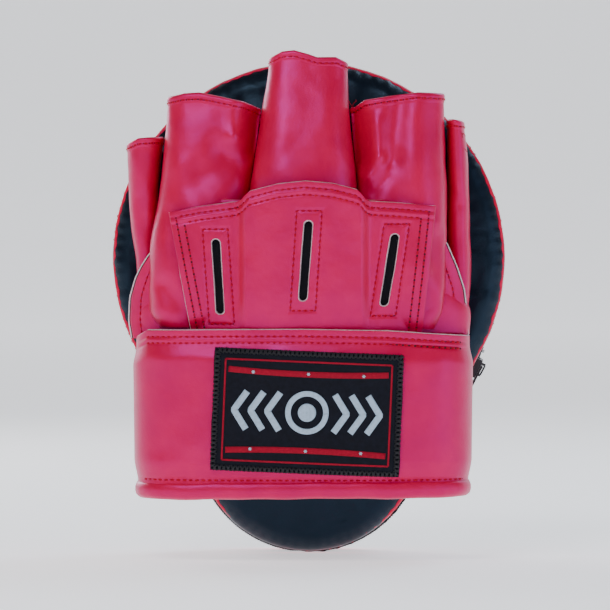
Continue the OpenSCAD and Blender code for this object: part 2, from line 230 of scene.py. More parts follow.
def tube(name, path, radius, mats, closed=True, sides=12):
    """A round cord along a path of points."""
    path = np.asarray(path, float)
    T = (np.roll(path, -1, 0) - np.roll(path, 1, 0)) if closed else np.gradient(path, axis=0)
    T = unit(T)
    A = unit(np.cross(T, np.broadcast_to(np.array([0.0, 1.0, 0.0]), T.shape)))
    B = np.cross(T, A)
    k = circle(sides)[None, :, None]
    P = path[:, None] + radius * (A[:, None] * np.cos(k) + B[:, None] * np.sin(k))
    return skin(name, P, mats, closed, True, cap=not closed)


def join(name, obs):
    bpy.ops.object.select_all(action="DESELECT")
    for o in obs:
        o.select_set(True)
    bpy.context.view_layer.objects.active = obs[0]
    if len(obs) > 1:
        bpy.ops.object.join()
    obs[0].name = name
    obs[0].data.name = name
    return obs[0]


def rods(count, rings, sides):
    """Faces of closed rods, each with its rings of points one after the other."""
    faces = []
    for o in range(0, count * rings * sides, rings * sides):
        for a in range(o, o + (rings - 1) * sides, sides):
            for q in range(sides):
                q2 = (q + 1) % sides
                faces.append([a + q, a + q2, a + sides + q2, a + sides + q])
        faces.append([o + q for q in range(sides)][::-1])
        faces.append([o + (rings - 1) * sides + q for q in range(sides)])
    return faces


def stitches(name, path, normal, pitch=3.3, length=2.3, r=0.40, closed=False, across=0.0, holes=True,
    mats=None, sink=0.12):
    """Thread lying along a seam, dipping into a needle hole after each stitch; each hole is a flat dark oval
    of painted shade.
    across turns each stitch out of the seam's line, in degrees."""
    path, normal = np.asarray(path, float), np.asarray(normal, float)
    if closed:
        path = np.concatenate([path, path[:1]])
        normal = np.concatenate([normal, normal[:1]])
    s = arc(path)
    count = max(1, int(round(s[-1] / pitch)))
    step = s[-1] / count
    mid = (np.arange(count) + 0.5) * step
    rng = np.random.default_rng(len(name) * 7 + count)
    c, n = along(mid, s, path), unit(along(mid, s, normal))
    t = unit(along(np.minimum(mid + 0.5, s[-1]), s, path) - along(np.maximum(mid - 0.5, 0), s, path))
    b = np.cross(n, t)
    turn = np.radians(across + rng.uniform(-4, 4, count))[:, None]
    d = t * np.cos(turn) + b * np.sin(turn)
    e = np.cross(n, d)
    A = np.array([-1, -0.86, -0.45, 0, 0.45, 0.86, 1])
    R = np.array([0.35, 0.8, 1, 1.04, 1, 0.8, 0.35]) * r
    H = np.array([-0.6, 0.1, 0.62, 0.8, 0.62, 0.1, -0.6]) * r - sink
    k = circle(7)[None, None, :, None]
    L = length * (1 + rng.uniform(-0.06, 0.06, count))[:, None, None] / 2
    centre = c[:, None] + d[:, None] * A[None, :, None] * L + n[:, None] * H[None, :, None]
    ring = e[:, None, None] * np.cos(k) + n[:, None, None] * np.sin(k)
    P = centre[:, :, None] + ring * R[None, :, None, None]
    verts, faces = [P.reshape(-1, 3)], rods(count, 7, 7)
    fm = [0] * len(faces)
    # each needle hole is a flat dark oval just over the leather: painted shade, not a cut hole
    if holes:
        gap = np.clip(mid + step / 2, 0, s[-1])
        hp, hn = along(gap, s, path), unit(along(gap, s, normal))
        hb = np.cross(hn, t)
        base = len(verts[0])
        k = circle(8)[None, :, None]
        oval = t[:, None] * np.cos(k) * 1.25 + hb[:, None] * np.sin(k)
        verts.append((hp[:, None] + 0.52 * oval + hn[:, None] * 0.035).reshape(-1, 3))
        for i in range(count):
            faces.append([base + i * 8 + q for q in range(8)])
            fm.append(1)
    return link(name, np.concatenate(verts), faces, mats or [M_thread, M_needle_shade], fm)


# ---------------------------------------------------------------- materials
def material(name, color, rough, bumps=(), vary=0.0, metallic=0.0, spec=0.5, rough_vary=0.06, vary_scale=60.0,
    second=None, tint=None):
    """Principled material with mottled colour and gloss; bumps are (pattern, scale, strength, distance)."""
    m = bpy.data.materials.new(name)
    m.use_nodes = True
    nt = m.node_tree
    b = nt.nodes["Principled BSDF"]

    def put(node, **values):
        for key, value in values.items():
            node.inputs[key.replace("_", " ")].default_value = value

    def new(kind, feed, **values):
        node = nt.nodes.new("ShaderNode" + kind)
        put(node, **values)
        if feed:
            nt.links.new(feed, node.inputs[0])
        return node

    put(b, Base_Color=(*color, 1), Roughness=rough, Metallic=metallic, Specular_IOR_Level=spec)
    if tint:
        put(b, Specular_Tint=(*tint, 1))
    src = new("TexCoord", None).outputs["Object"]
    if vary or second:
        n = new("TexNoise", src, Scale=vary_scale, Detail=5)
        ramp = new("ValToRGB", n.outputs["Fac"])
        lo = tuple(max(0, c * (1 - vary)) for c in color)
        hi = second or tuple(min(1, c * (1 + vary)) for c in color)
        for stop, at, c in zip(ramp.color_ramp.elements, (0.3, 0.7), (lo, hi)):
            stop.position, stop.color = at, (*c, 1)
        nt.links.new(ramp.outputs["Color"], b.inputs["Base Color"])
    if rough_vary:
        n = new("TexNoise", src, Scale=90, Detail=4)
        span = new("MapRange", n.outputs["Fac"], To_Min=rough - rough_vary, To_Max=rough + rough_vary)
        nt.links.new(span.outputs["Result"], b.inputs["Roughness"])
    above = b.inputs["Normal"]
    for kind, scale, strength, dist in reversed(bumps):
        if kind == "voronoi":
            t = new("TexVoronoi", src, Scale=scale)
            t.feature = "DISTANCE_TO_EDGE"
        elif kind == "noise":
            t = new("TexNoise", src, Scale=scale, Detail=6)
        else:
            t = new("TexWave", src, Scale=scale)
            if kind == "wave":
                put(t, Distortion=1.5)
            else:
                t.bands_direction = "Z"
        bump = new("Bump", None, Strength=strength, Distance=dist)
        nt.links.new(t.outputs["Distance" if kind == "voronoi" else "Fac"], bump.inputs["Height"])
        nt.links.new(bump.outputs["Normal"], above)
        above = bump.inputs["Normal"]
    return m


GRAIN = (("voronoi", 1500, 0.28, 0.00025), ("noise", 420, 0.22, 0.0004))
M_red = material("red_leather", (0.58, 0.0008, 0.040), 0.34, GRAIN, vary=0.09, spec=0.9,
    tint=(1.0, 0.12, 1.0))
M_piping = material("piping_red", (0.66, 0.0012, 0.034), 0.36, (("voronoi", 1700, 0.2, 0.0002),), vary=0.08,
    spec=0.55, tint=(1.0, 0.2, 0.7))
M_black = material("black_leather", (0.0030, 0.0042, 0.0090), 0.36, tint=(0.40, 0.68, 1.0),
    bumps=(("voronoi", 1250, 0.42, 0.0003), ("noise", 380, 0.25, 0.0004)), vary=0.25, spec=0.36)
M_face = material("face_leather", (0.0055, 0.0055, 0.009), 0.43, tint=(0.7, 0.8, 1.0),
    bumps=(("voronoi", 1050, 0.5, 0.00035), ("noise", 300, 0.25, 0.0004)), vary=0.2, spec=0.42)
M_raw = material("raw_edge", (0.74, 0.56, 0.60), 0.9, (("noise", 1800, 0.7, 0.0004),), vary=0.25,
    rough_vary=0.03, vary_scale=900)
M_lining = material("lining", (0.006, 0.006, 0.009), 0.88, (("noise", 1500, 0.5, 0.0003),), vary=0.3,
    spec=0.15)
M_thread = material("thread_red", (0.50, 0.0008, 0.020), 0.6, tint=(1.0, 0.4, 0.5), spec=0.3,
    bumps=(("wave", 2400, 0.5, 0.0002),), vary=0.12, vary_scale=400)
# painted shade: the flat dark ovals of the needle holes stand in for the shade inside the holes
M_needle_shade = material("needle_hole_shade", (0.05, 0.001, 0.004), 0.9, (("noise", 900, 0.3, 0.0002),), vary=0.2)
M_bthread = material("thread_black", (0.006, 0.006, 0.010), 0.5, (("wave", 2400, 0.5, 0.0002),), vary=0.2,
    vary_scale=400)
M_label = material("label_weave", (0.005, 0.006, 0.012), 0.8,
    (("rib", 900, 0.45, 0.0003), ("noise", 1300, 0.3, 0.0002)), vary=0.3, vary_scale=500, spec=0.2)
M_labelred = material("label_red", (0.36, 0.0015, 0.022), 0.7, spec=0.2, bumps=(("rib", 1000, 0.5, 0.0003),),
    vary=0.15, vary_scale=700)
M_labelsilver = material("label_silver", (0.44, 0.58, 0.72), 0.55, bumps=(("rib", 1000, 0.5, 0.0003),),
    vary=0.12, vary_scale=700)
M_silver = material("silver_print", (0.42, 0.50, 0.78), 0.42, (("voronoi", 1050, 0.22, 0.0003),), vary=0.05,
    spec=0.6, metallic=0.25, vary_scale=18, second=(0.50, 0.53, 0.74))
M_printrim = material("print_rim", (0.72, 0.76, 0.86), 0.45, (("voronoi", 1050, 0.2, 0.0003),), vary=0.04)
M_tape = material("zip_tape", (0.010, 0.010, 0.014), 0.75,
    (("rib", 1400, 0.6, 0.0004), ("noise", 900, 0.3, 0.0003)), vary=0.3)
M_coil = material("zip_coil", (0.012, 0.012, 0.015), 0.38, (("noise", 500, 0.15, 0.0002),), vary=0.2)
M_zipmetal = material("zip_metal", (0.035, 0.036, 0.040), 0.3, (("noise", 700, 0.15, 0.0002),), vary=0.15,
    metallic=0.75)
M_stop = material("stop_metal", (0.42, 0.43, 0.45), 0.32, (("noise", 700, 0.2, 0.0002),), vary=0.1,
    metallic=0.9)
M_foam = material("foam_pale", (0.62, 0.62, 0.58), 0.9, (("noise", 900, 0.6, 0.0006),), vary=0.1)
M_foamdark = material("foam_dark", (0.05, 0.05, 0.055), 0.9, (("noise", 900, 0.6, 0.0006),), vary=0.1)
M_board = material("board", (0.66, 0.63, 0.56), 0.6, (("noise", 300, 0.2, 0.0003),), vary=0.08)

LEATHER = [M_red, M_lining, M_raw]  # outside, inside, cut edge


def place(ob, *nodes, body="mitt", slot=None, pad=None):
    """Say which body a piece rides on and hide the CAD pieces it replaces; slot and pad are not used."""
    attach(ob, body)
    if nodes:
        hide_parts(*nodes)
    return ob


# ---------------------------------------------------------------- pad outline
def outline(n):
    """Points and outward directions (X, Z) round the teardrop, evenly spaced, and the arc length at each."""
    c, s = cos(FLANK), sin(FLANK)
    head = HEAD_R * (pi + 2 * FLANK)
    flank = DROP * c
    nose = NOSE_R * (pi - 2 * FLANK)
    total = head + 2 * flank + nose
    d = np.arange(n) * total / n
    out, nrm = np.zeros((n, 2)), np.zeros((n, 2))
    for i, q in enumerate(d):
        if q < head:
            a = -FLANK + q / HEAD_R
            nrm[i] = cos(a), sin(a)
            out[i] = HEAD_R * nrm[i] + (0, HEAD_Z)
        elif q < head + flank:
            nrm[i] = -c, -s
            out[i] = HEAD_R * nrm[i] + (0, HEAD_Z) + (q - head) * np.array([s, -c])
        elif q < head + flank + nose:
            a = pi + FLANK + (q - head - flank) / NOSE_R
            nrm[i] = cos(a), sin(a)
            out[i] = NOSE_R * nrm[i] + (0, NOSE_Z)
        else:
            nrm[i] = c, -s
            out[i] = NOSE_R * nrm[i] + (0, NOSE_Z) + (q - head - flank - nose) * np.array([s, c])
    return out, nrm, d


def pad_y(r, z):
    return AXIS_Y - np.sqrt(r * r - (np.asarray(z, float) - AXIS_Z) ** 2)


NU = 560
OUT, ONRM, OARC = outline(NU)
PERIM = OARC[-1] + np.linalg.norm(OUT[0] - OUT[-1])


def rim_point(inset, y):
    xz = OUT - ONRM * np.asarray(inset)[..., None]
    return np.stack([xz[:, 0], np.broadcast_to(y, xz.shape[:1]), xz[:, 1]], 1)


def disc_grid(rings, centre_z, roll):
    """Rings from the middle to the rim: a negative one is a share of the way in, others are insets."""
    P = np.zeros((NU, len(rings), 3))
    centre = np.array([0, centre_z])
    for k, inset in enumerate(rings):
        if inset >= 0:
            xz = OUT - ONRM * inset
        else:
            xz = centre + (OUT - ONRM * roll - centre) * (1 + inset)
        P[:, k, ::2] = xz
    return P


RINGS = [-1 + q for q in (0.0, 0.12, 0.24, 0.36, 0.48, 0.58, 0.67, 0.75, 0.82, 0.88, 0.93, 0.97)]
RINGS += [20, 17, 14.5, 12.5, 10.8, 9.3, 8, 6.8, 5.7, 4.8, 4.0, 3.4, 2.9]


def pad_cover(front_side):
    """Leather over one side of the pad, rolled over at the rim; d is about how far a ring lies from it."""
    rings = RINGS if front_side else [r if r < 6 else r - 0.4 for r in RINGS[:-5]] + [4.2, 3.0, 1.9, 0.8, 0.0]
    P = disc_grid(rings, -10.0, 22.0)
    d = np.array([r if r >= 0 else 22 + (-r) * 60 for r in rings])
    if not front_side:
        d = np.where(d < 22, d + 2.4, d)
        wobble = fnoise(flat(OUT[:, 0], OUT[:, 1]), 30, 2.7)[:, None]
        P[:, :, 0] += ONRM[:, :1] * wobble * 0.7 * (1 - sm(d, 3, 14))[None]
    z = P[:, :, 2]

    def roll(r):
        """How far the cover falls towards the rim, on an arc of radius r."""
        return r - np.sqrt(np.maximum(r * r - np.maximum(r + 2.6 - d, 0) ** 2, 0))

    puff = 1.6 * sm(d, 4, 40)
    pucker = 0.34 * np.sin(OARC / PERIM * TAU * PUCKERS)[:, None] * bell(d, 4.2, 2.6)[None]
    if front_side:
        soft = fnoise(P, 70, 3.1) * 0.55 * sm(d, 4, 20) + fnoise(P, 18, 9.1) * 0.12
        # a tight roll, so the foam's corner stays covered
        P[:, :, 1] = pad_y(FACE_R, z) + (puff - roll(5.0) * 1.26 + pucker * 0.3 + soft) - 0.5
    else:
        ang = np.arctan2(P[:, :, 2] - 10, P[:, :, 0])
        wr = fnoise(P * np.array([1, 1, 0.7]), 42, 5.3, 4) * 1.7 + np.abs(fnoise(P, 24, 11.7, 3)) * -1.5
        radial = np.sin(ang * 23 + 3 * fnoise(P, 30, 1.9)) * 0.5 * bell(d, 10, 9)
        soft = (wr + 0.8) * sm(d, 3, 16) + radial + 1.1 * bell(d, 10.5, 5.0)
        soft = -smin(-soft, np.full_like(soft, 0.5), 0.8)  # no dent goes down to the foam
        P[:, :, 1] = pad_y(BACK_R, z) - (puff - roll(9.0) * 0.62 * 1.15 + pucker + soft) + 0.9
    return P


def seal_centre(name, P, mats, flip):
    """A sheet made of rings round a small hole at the middle, which is closed with one point."""
    nu, nv = P.shape[:2]
    N = grid_normals(P, True)
    if flip:
        N = -N
    N[:, 0] = unit(N[:, 3].mean(0))
    Q = P - N * COVER_T
    n = nu * nv
    verts = np.concatenate([P.reshape(-1, 3), Q.reshape(-1, 3)])
    fo, fi = quads(nu, nv, True, False, 0, flip), quads(nu, nv, True, False, n, not flip)
    idx = np.arange(nu) * nv + nv - 1
    nx = np.roll(idx, -1)
    rims = np.stack([idx, nx, nx + n, idx + n], 1)[:, :: -1 if flip else 1]
    fm = [0] * len(fo) + [1] * len(fi) + [2] * len(rims)
    ob = link(name, verts, np.concatenate([fo, fi, rims]), mats, fm)
    bm = bmesh.new()
    bm.from_mesh(ob.data)
    bmesh.ops.remove_doubles(bm, verts=bm.verts, dist=1e-6)
    bm.to_mesh(ob.data)
    bm.free()
    return ob


P_face = pad_cover(True)
face_ob = seal_centre("strike_face", P_face, [M_face, M_lining, M_face], False)
place(face_ob, "strike_face_cover", slot="black_pu", pad=0.95)
back_ob = seal_centre("back_skin", pad_cover(False), [M_black, M_lining, M_black], True)
place(back_ob, "back_cover", slot="black_pu", pad=0.85)


# ---------------------------------------------------------------- target disc
def face_height(x, z):
    q = flat(x, z)
    return pad_y(FACE_R, z) + 1.0 + fnoise(q, 70, 3.1) * 0.55 + fnoise(q, 18, 9.1) * 0.12


TARGET_Z, PRINT_T = 8.7, 0.5
radii = np.array([0.01, 4, 8, 12, 16, 20, 24, 28, 31, 33, 34.0, 34.25, 34.9, 35.1])
k = circle(160)[:, None]
P = np.stack([radii * np.cos(k), np.zeros((160, len(radii))), TARGET_Z + radii * np.sin(k)], -1)
P[:, :, 1] = face_height(P[:, :, 0], P[:, :, 2]) + PRINT_T
P[:, -1, 1] -= PRINT_T + 0.1
target = skin("target", P, [M_silver, M_printrim], True, flip=True)
target.data.polygons.foreach_set("material_index", np.tile([0] * 10 + [1] * 3, 160).astype(np.int32))
place(target, "target_disc", slot="silver_print")

# ---------------------------------------------------------------- piping and gusset
YF = pad_y(FACE_R, OUT[:, 1])
YB = pad_y(BACK_R, OUT[:, 1])
wob = 0.22 * np.sin(OARC / PERIM * TAU * 31) + 0.15 * np.sin(OARC / PERIM * TAU * 73 + 1)
pipe_f = rim_point(1.2 - 0.4 * wob, YF - 5.2 + wob)
pipe_b = rim_point(1.5 + 0.9 * sm(-OUT[:, 1], 105, 130) - 0.3 * wob, YB + 5.4 + wob * 0.7)
place(tube("face_pipe", pipe_f, 2.5, [M_piping], sides=14), "face_piping", slot="red_piping")
place(tube("back_pipe", pipe_b, 1.4, [M_piping], sides=12), "back_piping", slot="red_piping")

# how far each point lies below the slanting line where the zip starts
below = -64 + (OUT[:, 0] + 130) / 260 * 44 - OUT[:, 1]


def wall_edges(order):
    """Depth of the side wall's front and back edges."""
    return pipe_f[order, 1] - 1.0, pipe_b[order, 1] + 0.6


def wall(name, f0, f1, bulge, mask, mats, n, ruffle=0.0, lift=0.0, t=1.2, freq=0):
    """A strip of the pad's side between two shares of its depth, front edge 0 to back edge 1."""
    order = np.where(mask)[0]
    jump = np.where(np.diff(order) != 1)[0]
    if len(jump):  # start after the gap, so the strip is one run
        order = np.roll(order, -(jump[0] + 1))
    v = np.linspace(f0, f1, n)
    o, nr = OUT[order], ONRM[order]
    y0, y1 = wall_edges(order)
    s = OARC[order]
    P = np.zeros((len(order), n, 3))
    for j, q in enumerate(v):
        out = bulge * sin(pi * q) + lift
        pk = ruffle * np.sin(s * TAU * freq / PERIM + 2.2 * np.sin(s / 19.0)) * sin(pi * (j + 0.5) / n)
        edge = 0.3 * np.sin(s * TAU * PUCKERS / PERIM) * (bell(q, 0.03, 0.05) + bell(q, 0.97, 0.05))
        w = out + pk + edge - 0.5
        if ruffle:  # flat beside the teeth, where the slider runs, and puckered out at the seam
            w = 0.25 + (0.7 + pk) * sm(abs(q - 0.5) * 40, 5.0, 7.5)
        P[:, j, ::2] = o + nr * w[:, None]
        P[:, j, 1] = y0 + (y1 - y0) * q
    P += fnoise(P, 30, 7.7)[:, :, None] * flat(nr[:, 0], nr[:, 1])[:, None] * 0.5
    return sheet(name, P, t, mats), P, order


up = below < 1.0
low = below > -1.0
top_wall, P_up, _ = wall("gusset_top", 0, 1, 0.55, up, LEATHER, 17)
place(top_wall, "gusset_upper", slot="red_pu", pad=0.8)
front_strip, P_gf, ord_low = wall("gusset_front", 0, 0.29, 0.55, low, LEATHER, 8)
place(front_strip, "gusset_front_strip", slot="red_pu")
back_strip, P_gb, _ = wall("gusset_back", 0.71, 1, 0.55, low, LEATHER, 8)
place(back_strip, "gusset_back_strip", slot="red_pu")
for name, f0, f1 in (("front", 0.25, 0.487), ("back", 0.513, 0.75)):
    tape, _, _ = wall("tape_" + name, f0, f1, 0.6, low, [M_tape] * 3, 10, 0.8, 0.9, 0.6, 88)
    place(tape, "zip_tape_" + name, slot="zip_fabric")


def wall_seam(name, P, j, share, pitch, across=0.0):
    """Stitches along a wall, a share of the way between two of its rows."""
    a = P[:, j] * (1 - share) + P[:, j + 1] * share
    N = grid_normals(P)[:, j]
    out = N * np.sign(np.sum((a - np.array([0, 45, 0.0])) * N, axis=-1, keepdims=True) + 1e-9)
    return stitches(name, a, out, pitch, 2.2, 0.33, across=across)


seams = [
    wall_seam("st_gf", P_up, 1, 0.2, 4.2, 28),
    wall_seam("st_gb", P_up, 14, 0.8, 4.2, -28),
    wall_seam("st_zf", P_gf, 5, 0.8, 3.2),
    wall_seam("st_zb", P_gb, 1, 0.2, 3.2),
    wall_seam("st_lf", P_gf, 1, 0.0, 4.2, 28),
    wall_seam("st_lb", P_gb, 5, 0.9, 4.2, -28),
]
place(join("gusset_thread", seams), slot="thread")

# seam stitches just inside the face's rolled edge
along_rim = P_face[:, RINGS.index(4.8)]
rim_normal = np.stack([ONRM[:, 0] * 0.7, np.full(NU, 0.7), ONRM[:, 1] * 0.7], 1)
face_thread = stitches("face_thread", along_rim, rim_normal, 3.4, 1.9, 0.24, closed=True,
    mats=[M_bthread, M_needle_shade], sink=0.1)
place(face_thread, slot="thread_black")


# ---------------------------------------------------------------- zip
order = ord_low[5:-5]
y0, y1 = wall_edges(order)
zn = flat(ONRM[order, 0], ONRM[order, 1])
zp = np.stack([OUT[order, 0] + zn[:, 0] * 0.9, y0 + (y1 - y0) * 0.5, OUT[order, 1] + zn[:, 2] * 0.9], 1)
seg = arc(zp)
TOOTH_PITCH = 1.35

# each tooth is a hook of six five-sided rings, leaning to one side and the other in turn
tv, hooks = [], int(seg[-1] / TOOTH_PITCH) * 2
for i in range(hooks):
    q = (i + 0.5) * TOOTH_PITCH / 2
    p, n = along(q, seg, zp), along(q, seg, zn)
    t = unit(along(min(q + 0.5, seg[-1]), seg, zp) - along(max(q - 0.5, 0), seg, zp))
    b = np.cross(n, t) * (1 if i % 2 else -1)
    for a in np.linspace(0.1, pi * 0.98, 6):
        c = p + b * (-0.5 + 1.15 * (1 - cos(a))) + n * (0.75 * sin(a))
        tv += [c + (t * cos(w) + n * sin(w)) * 0.33 for w in TAU * np.arange(5) / 5]
teeth = link("coil_teeth", np.array(tv), rods(hooks, 6, 5), [M_coil])
core = tube("coil_core", zp - zn * 0.35, 0.9, [M_coil], closed=False, sides=8)
place(join("coil", [teeth, core]), "zip_coil", slot="zip_plastic")


def copy_node(node, name, mat, width, body, slot):
    """A copy of a CAD piece, with a bevel that takes the machine edge off."""
    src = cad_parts[node]
    ob = src.copy()
    ob.data = src.data.copy()
    ob.name = name
    for k in list(ob.keys()):
        if k.startswith("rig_"):
            del ob[k]
    bpy.context.scene.collection.objects.link(ob)
    ob.parent = None
    ob.data.transform(src.matrix_world.copy())
    ob.matrix_world.identity()
    ob.data.materials.clear()
    ob.data.materials.append(mat)
    m = ob.modifiers.new("bevel", "BEVEL")
    m.width, m.segments, m.limit_method, m.angle_limit = width * 0.001, 2, "ANGLE", radians(40)
    place(ob, node, body=body, slot=slot)


copy_node("zip_slider", "slider", M_zipmetal, 0.55, "zip_slider", "zip_metal")
copy_node("zip_puller", "pull_tab", M_zipmetal, 0.4, "zip_puller", "zip_metal")
copy_node("zip_end_stops", "end_stops", M_stop, 0.3, "mitt", "stop_metal")

# ---------------------------------------------------------------- foams kept from the CAD, inside the covers
for node, m in (("impact_foam", M_foam), ("core_foam", M_foamdark), ("shock_board", M_board),
    ("backing_foam", M_foamdark)):
    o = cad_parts[node]
    o.data.materials.clear()
    o.data.materials.append(m)


# ---------------------------------------------------------------- glove sections
def profile(table):
    """Smooth curves through rows of [z, centre x, half width, front y, back y]."""
    t = np.array(table, float)
    z = t[:, 0]

    def f(q):
        q = np.asarray(q, float)
        out = []
        for c in range(1, 5):
            v = t[:, c]
            m = np.gradient(v, z)
            i = np.clip(np.searchsorted(z, q) - 1, 0, len(z) - 2)
            h = z[i + 1] - z[i]
            s = np.clip((q - z[i]) / h, 0, 1)
            start = (2 * s**3 - 3 * s**2 + 1) * v[i] + (s**3 - 2 * s**2 + s) * h * m[i]
            out.append(start + (3 * s**2 - 2 * s**3) * v[i + 1] + (s**3 - s**2) * h * m[i + 1])
        return out

    return f


INDEX = [[-15, -65, 11, -20, 8], [-9, -64.2, 16.5, -22.5, 11], [0, -63.4, 18.4, -23, 13],
    [12, -62, 19.4, -23.4, 14], [30, -58.8, 21.9, -22, 16], [48, -54.2, 23.2, -19.5, 17],
    [66, -52.0, 23.0, -16, 18.4], [84, -49.9, 23.6, -11.5, 18.6], [104, -48.0, 24.3, -6, 18]]
RING = [[-16, 57, 8, -18, 8], [-8, 55.5, 13, -20.5, 10], [2, 53.8, 16.2, -21.5, 13],
    [12, 52.6, 17.8, -22, 14], [30, 50.2, 20.6, -21, 16], [48, 47.9, 22.7, -19, 17],
    [66, 47.1, 23.1, -15.5, 18.4], [84, 46.1, 23.7, -11, 18.8], [105, 45.1, 24.4, -6, 18.3]]
MIDDLE = [[40, -3, 27.2, -23, 14], [50, -2.9, 27.4, -24.8, 15], [60, -2.6, 26.8, -25, 16],
    [75, -2.2, 25.0, -21.5, 17], [92, -1.6, 22.9, -16, 17.4], [110, -0.6, 20.6, -9, 17.6],
    [127, 0, 19.3, -4, 16.5]]
THUMB = [[-6, -82, 3.4, 7, 18], [6, -83.2, 4.6, 4, 21], [20, -83.8, 5.4, 3, 21.8], [34, -84.6, 6.5, 1.8, 23],
    [50, -85.0, 7.4, 1.2, 24.4], [66, -84.8, 8.4, 1, 25.6], [82.5, -84.3, 9.5, 2, 27]]
LITTLE = [[-6, 77.4, 4.6, 6, 18], [6, 77.6, 5.8, 3, 21], [34, 77.1, 5.9, 2.5, 22.8], [60, 76.8, 5.6, 2, 24.6],
    [77, 76.3, 5.1, 2.4, 25.8], [91.5, 75.4, 4.0, 3, 27]]


SLEEVE_P = 2.5  # how square a sleeve's section is


def crease_sum(x, z, creases):
    """Soft folds: each is a line from (x0, z0) to (x1, z1), a width, and a depth into the glove."""
    out = np.zeros_like(x)
    for x0, z0, x1, z1_, w, d in creases:
        dx, dz = x1 - x0, z1_ - z0
        t = np.clip(((x - x0) * dx + (z - z0) * dz) / (dx * dx + dz * dz), 0, 1)
        dist = np.hypot(x - x0 - t * dx, z - z0 - t * dz)
        out += d * np.exp(-((dist / w) ** 2))
    return out


def out_normals(P):
    N = grid_normals(P, True)
    return N * np.sign(np.sum(N * (P - P.mean(0, keepdims=True)), -1, keepdims=True))


def sleeve(name, table, z0, top, creases, seed, p=SLEEVE_P, t=1.5, drop_below=None, wave=0.6):
    """An open leather tube with a turned and stitched top edge."""
    nu, nv = 120, 96
    f = profile(table)
    c, s = np.cos(circle(nu)), np.sin(circle(nu))
    ztop_max = np.max(top[1])
    v = np.concatenate([np.linspace(0, 0.93, nv - 14), np.linspace(0.935, 1, 14)])
    P = np.zeros((nu, nv, 3))
    xc, hw, _, _ = f(np.array([ztop_max]))
    xt = xc + hw * power(c, 2 / p)
    ztop = np.interp(xt, top[0], top[1]) - 2.0 * (s > 0) * np.abs(s)
    for j, q in enumerate(v):
        z = z0 + (ztop - z0) * q
        xc, hw, yf, yb = f(z)
        x = xc + hw * power(c, 2 / p)
        y = (yf + yb) / 2 + (yb - yf) / 2 * power(s, 2 / p)
        P[:, j] = np.stack([x, y, z], 1)
    frontness = sm(-s, -0.15, 0.45)[:, None]
    d = crease_sum(P[:, :, 0], P[:, :, 2], creases) * frontness
    rough = fnoise(P * np.array([1, 1, 0.75]), 26, seed, 3) * wave + fnoise(P, 10, seed + 5, 2) * 0.16
    rough *= sm(v, 0.0, 0.1)[None]
    hem_d = (1 - v)[None] * (ztop[:, None] - z0)  # distance below the top edge
    hem = 0.45 * (1 - sm(hem_d, 3.9, 4.6)) - 0.42 * bell(hem_d, 3.3, 0.55) - 0.9 * (1 - sm(hem_d, 0, 1.0))
    P = P + out_normals(P) * (rough + hem)[:, :, None]
    P[:, :, 1] += d
    keep = None
    if drop_below is not None:  # no back wall inside the glove
        keep = ~((P[:, :, 2] < drop_below) & (s > 0.12)[:, None])
        keep = keep & np.roll(keep, -1, 0)
    ob = sheet(name, P, t, LEATHER, close_u=True, keep=keep, rim=0)
    # the hem is turned in, so the inside is red near the top
    me = ob.data
    cz = np.zeros(len(me.polygons) * 3)
    me.polygons.foreach_get("center", cz)
    cz = cz.reshape(-1, 3) * 1000
    mi = np.zeros(len(me.polygons), np.int32)
    me.polygons.foreach_get("material_index", mi)
    zt = np.interp(cz[:, 0], top[0], top[1])
    mi[(mi == 1) & (cz[:, 2] > zt - 9)] = 0
    me.polygons.foreach_set("material_index", mi)
    j = int(np.argmin(np.abs((1 - v) * (ztop_max - z0) - 3.3)))
    return ob, stitches(name + "_hem", P[:, j], out_normals(P)[:, j], 3.1, 2.2, 0.40, closed=True), P


# for each sleeve: section table, bottom, top edge (x, z), folds, noise seed, two heights that nothing uses,
# the rest
SLEEVES = {
    "index": (INDEX, -15, ([-73, -64, -56, -50, -33, -24], [102.6, 104.4, 104.8, 103.8, 100.3, 96.8]),
        [(-26, 92, -28.5, 75, 6.8, 7.5), (-38, 101, -37.5, 82, 5.0, -1.8), (-37.5, 82, -29, 70, 4.2, -1.6),
        (-44, 74, -31, 62, 3.6, 1.6), (-58, 58, -44, 70, 9, 1.8), (-70, 40, -62, 10, 7, 1.6),
        (-74, 6, -60, -10, 5, 2.2), (-66, 66, -56, 44, 6, -0.9), (-47, 78, -43, 66, 5, 1.2)], 2.3, (45, 60),
        dict(drop_below=38)),
    "ring": (RING, -16, ([22.5, 28, 42, 56, 70], [97.4, 101, 103.3, 105, 104.4]),
        [(24, 93, 25, 71, 5.6, 6.5), (34, 90, 36, 72, 3.8, -1.7), (36, 71, 30, 62, 3.6, -2.0),
        (30, 62, 24, 63, 3.4, -1.2), (39, 61, 33, 54, 3.4, 1.5), (46, 100, 42.5, 70, 5.2, 2.6),
        (42.5, 70, 46, 50, 5.5, 1.3), (56, 98, 55, 60, 7, -0.8), (66, 30, 62, -4, 5, 2.2),
        (58, 16, 66, 2, 4, -1.2)], 6.9, (45, 60), dict(drop_below=38)),
    "middle": (MIDDLE, 42, ([-19.3, -14, -7.6, 0, 4.4, 14, 19.3], [123, 126, 126.7, 124.6, 123, 123, 120.4]),
        [(-6, 74, 8, 62, 10, 1.2), (-15, 110, -20, 78, 7, -0.8), (12, 104, 17, 72, 6, -0.7),
        (2, 118, 0, 92, 9, 0.7)], 4.1, (50, 66), dict()),
    "thumb": (THUMB, -6, ([-94, -88, -82, -74], [78.7, 81.5, 82.0, 82.3]),
        [(-88, 50, -82, 30, 4, 1.0), (-90, 70, -84, 58, 4, -0.5)], 8.8, (4, 18),
        dict(p=2.2, t=1.4, wave=0.35)),
    "little": (LITTLE, -6, ([71, 74, 80], [91.4, 91.2, 90.4]),
        [(72, 54, 78, 48, 3, 0.8), (74, 84, 77, 60, 3, -0.4)], 1.4, (4, 18), dict(p=2.2, t=1.4, wave=0.3)),
}
sleeve_grid = {}
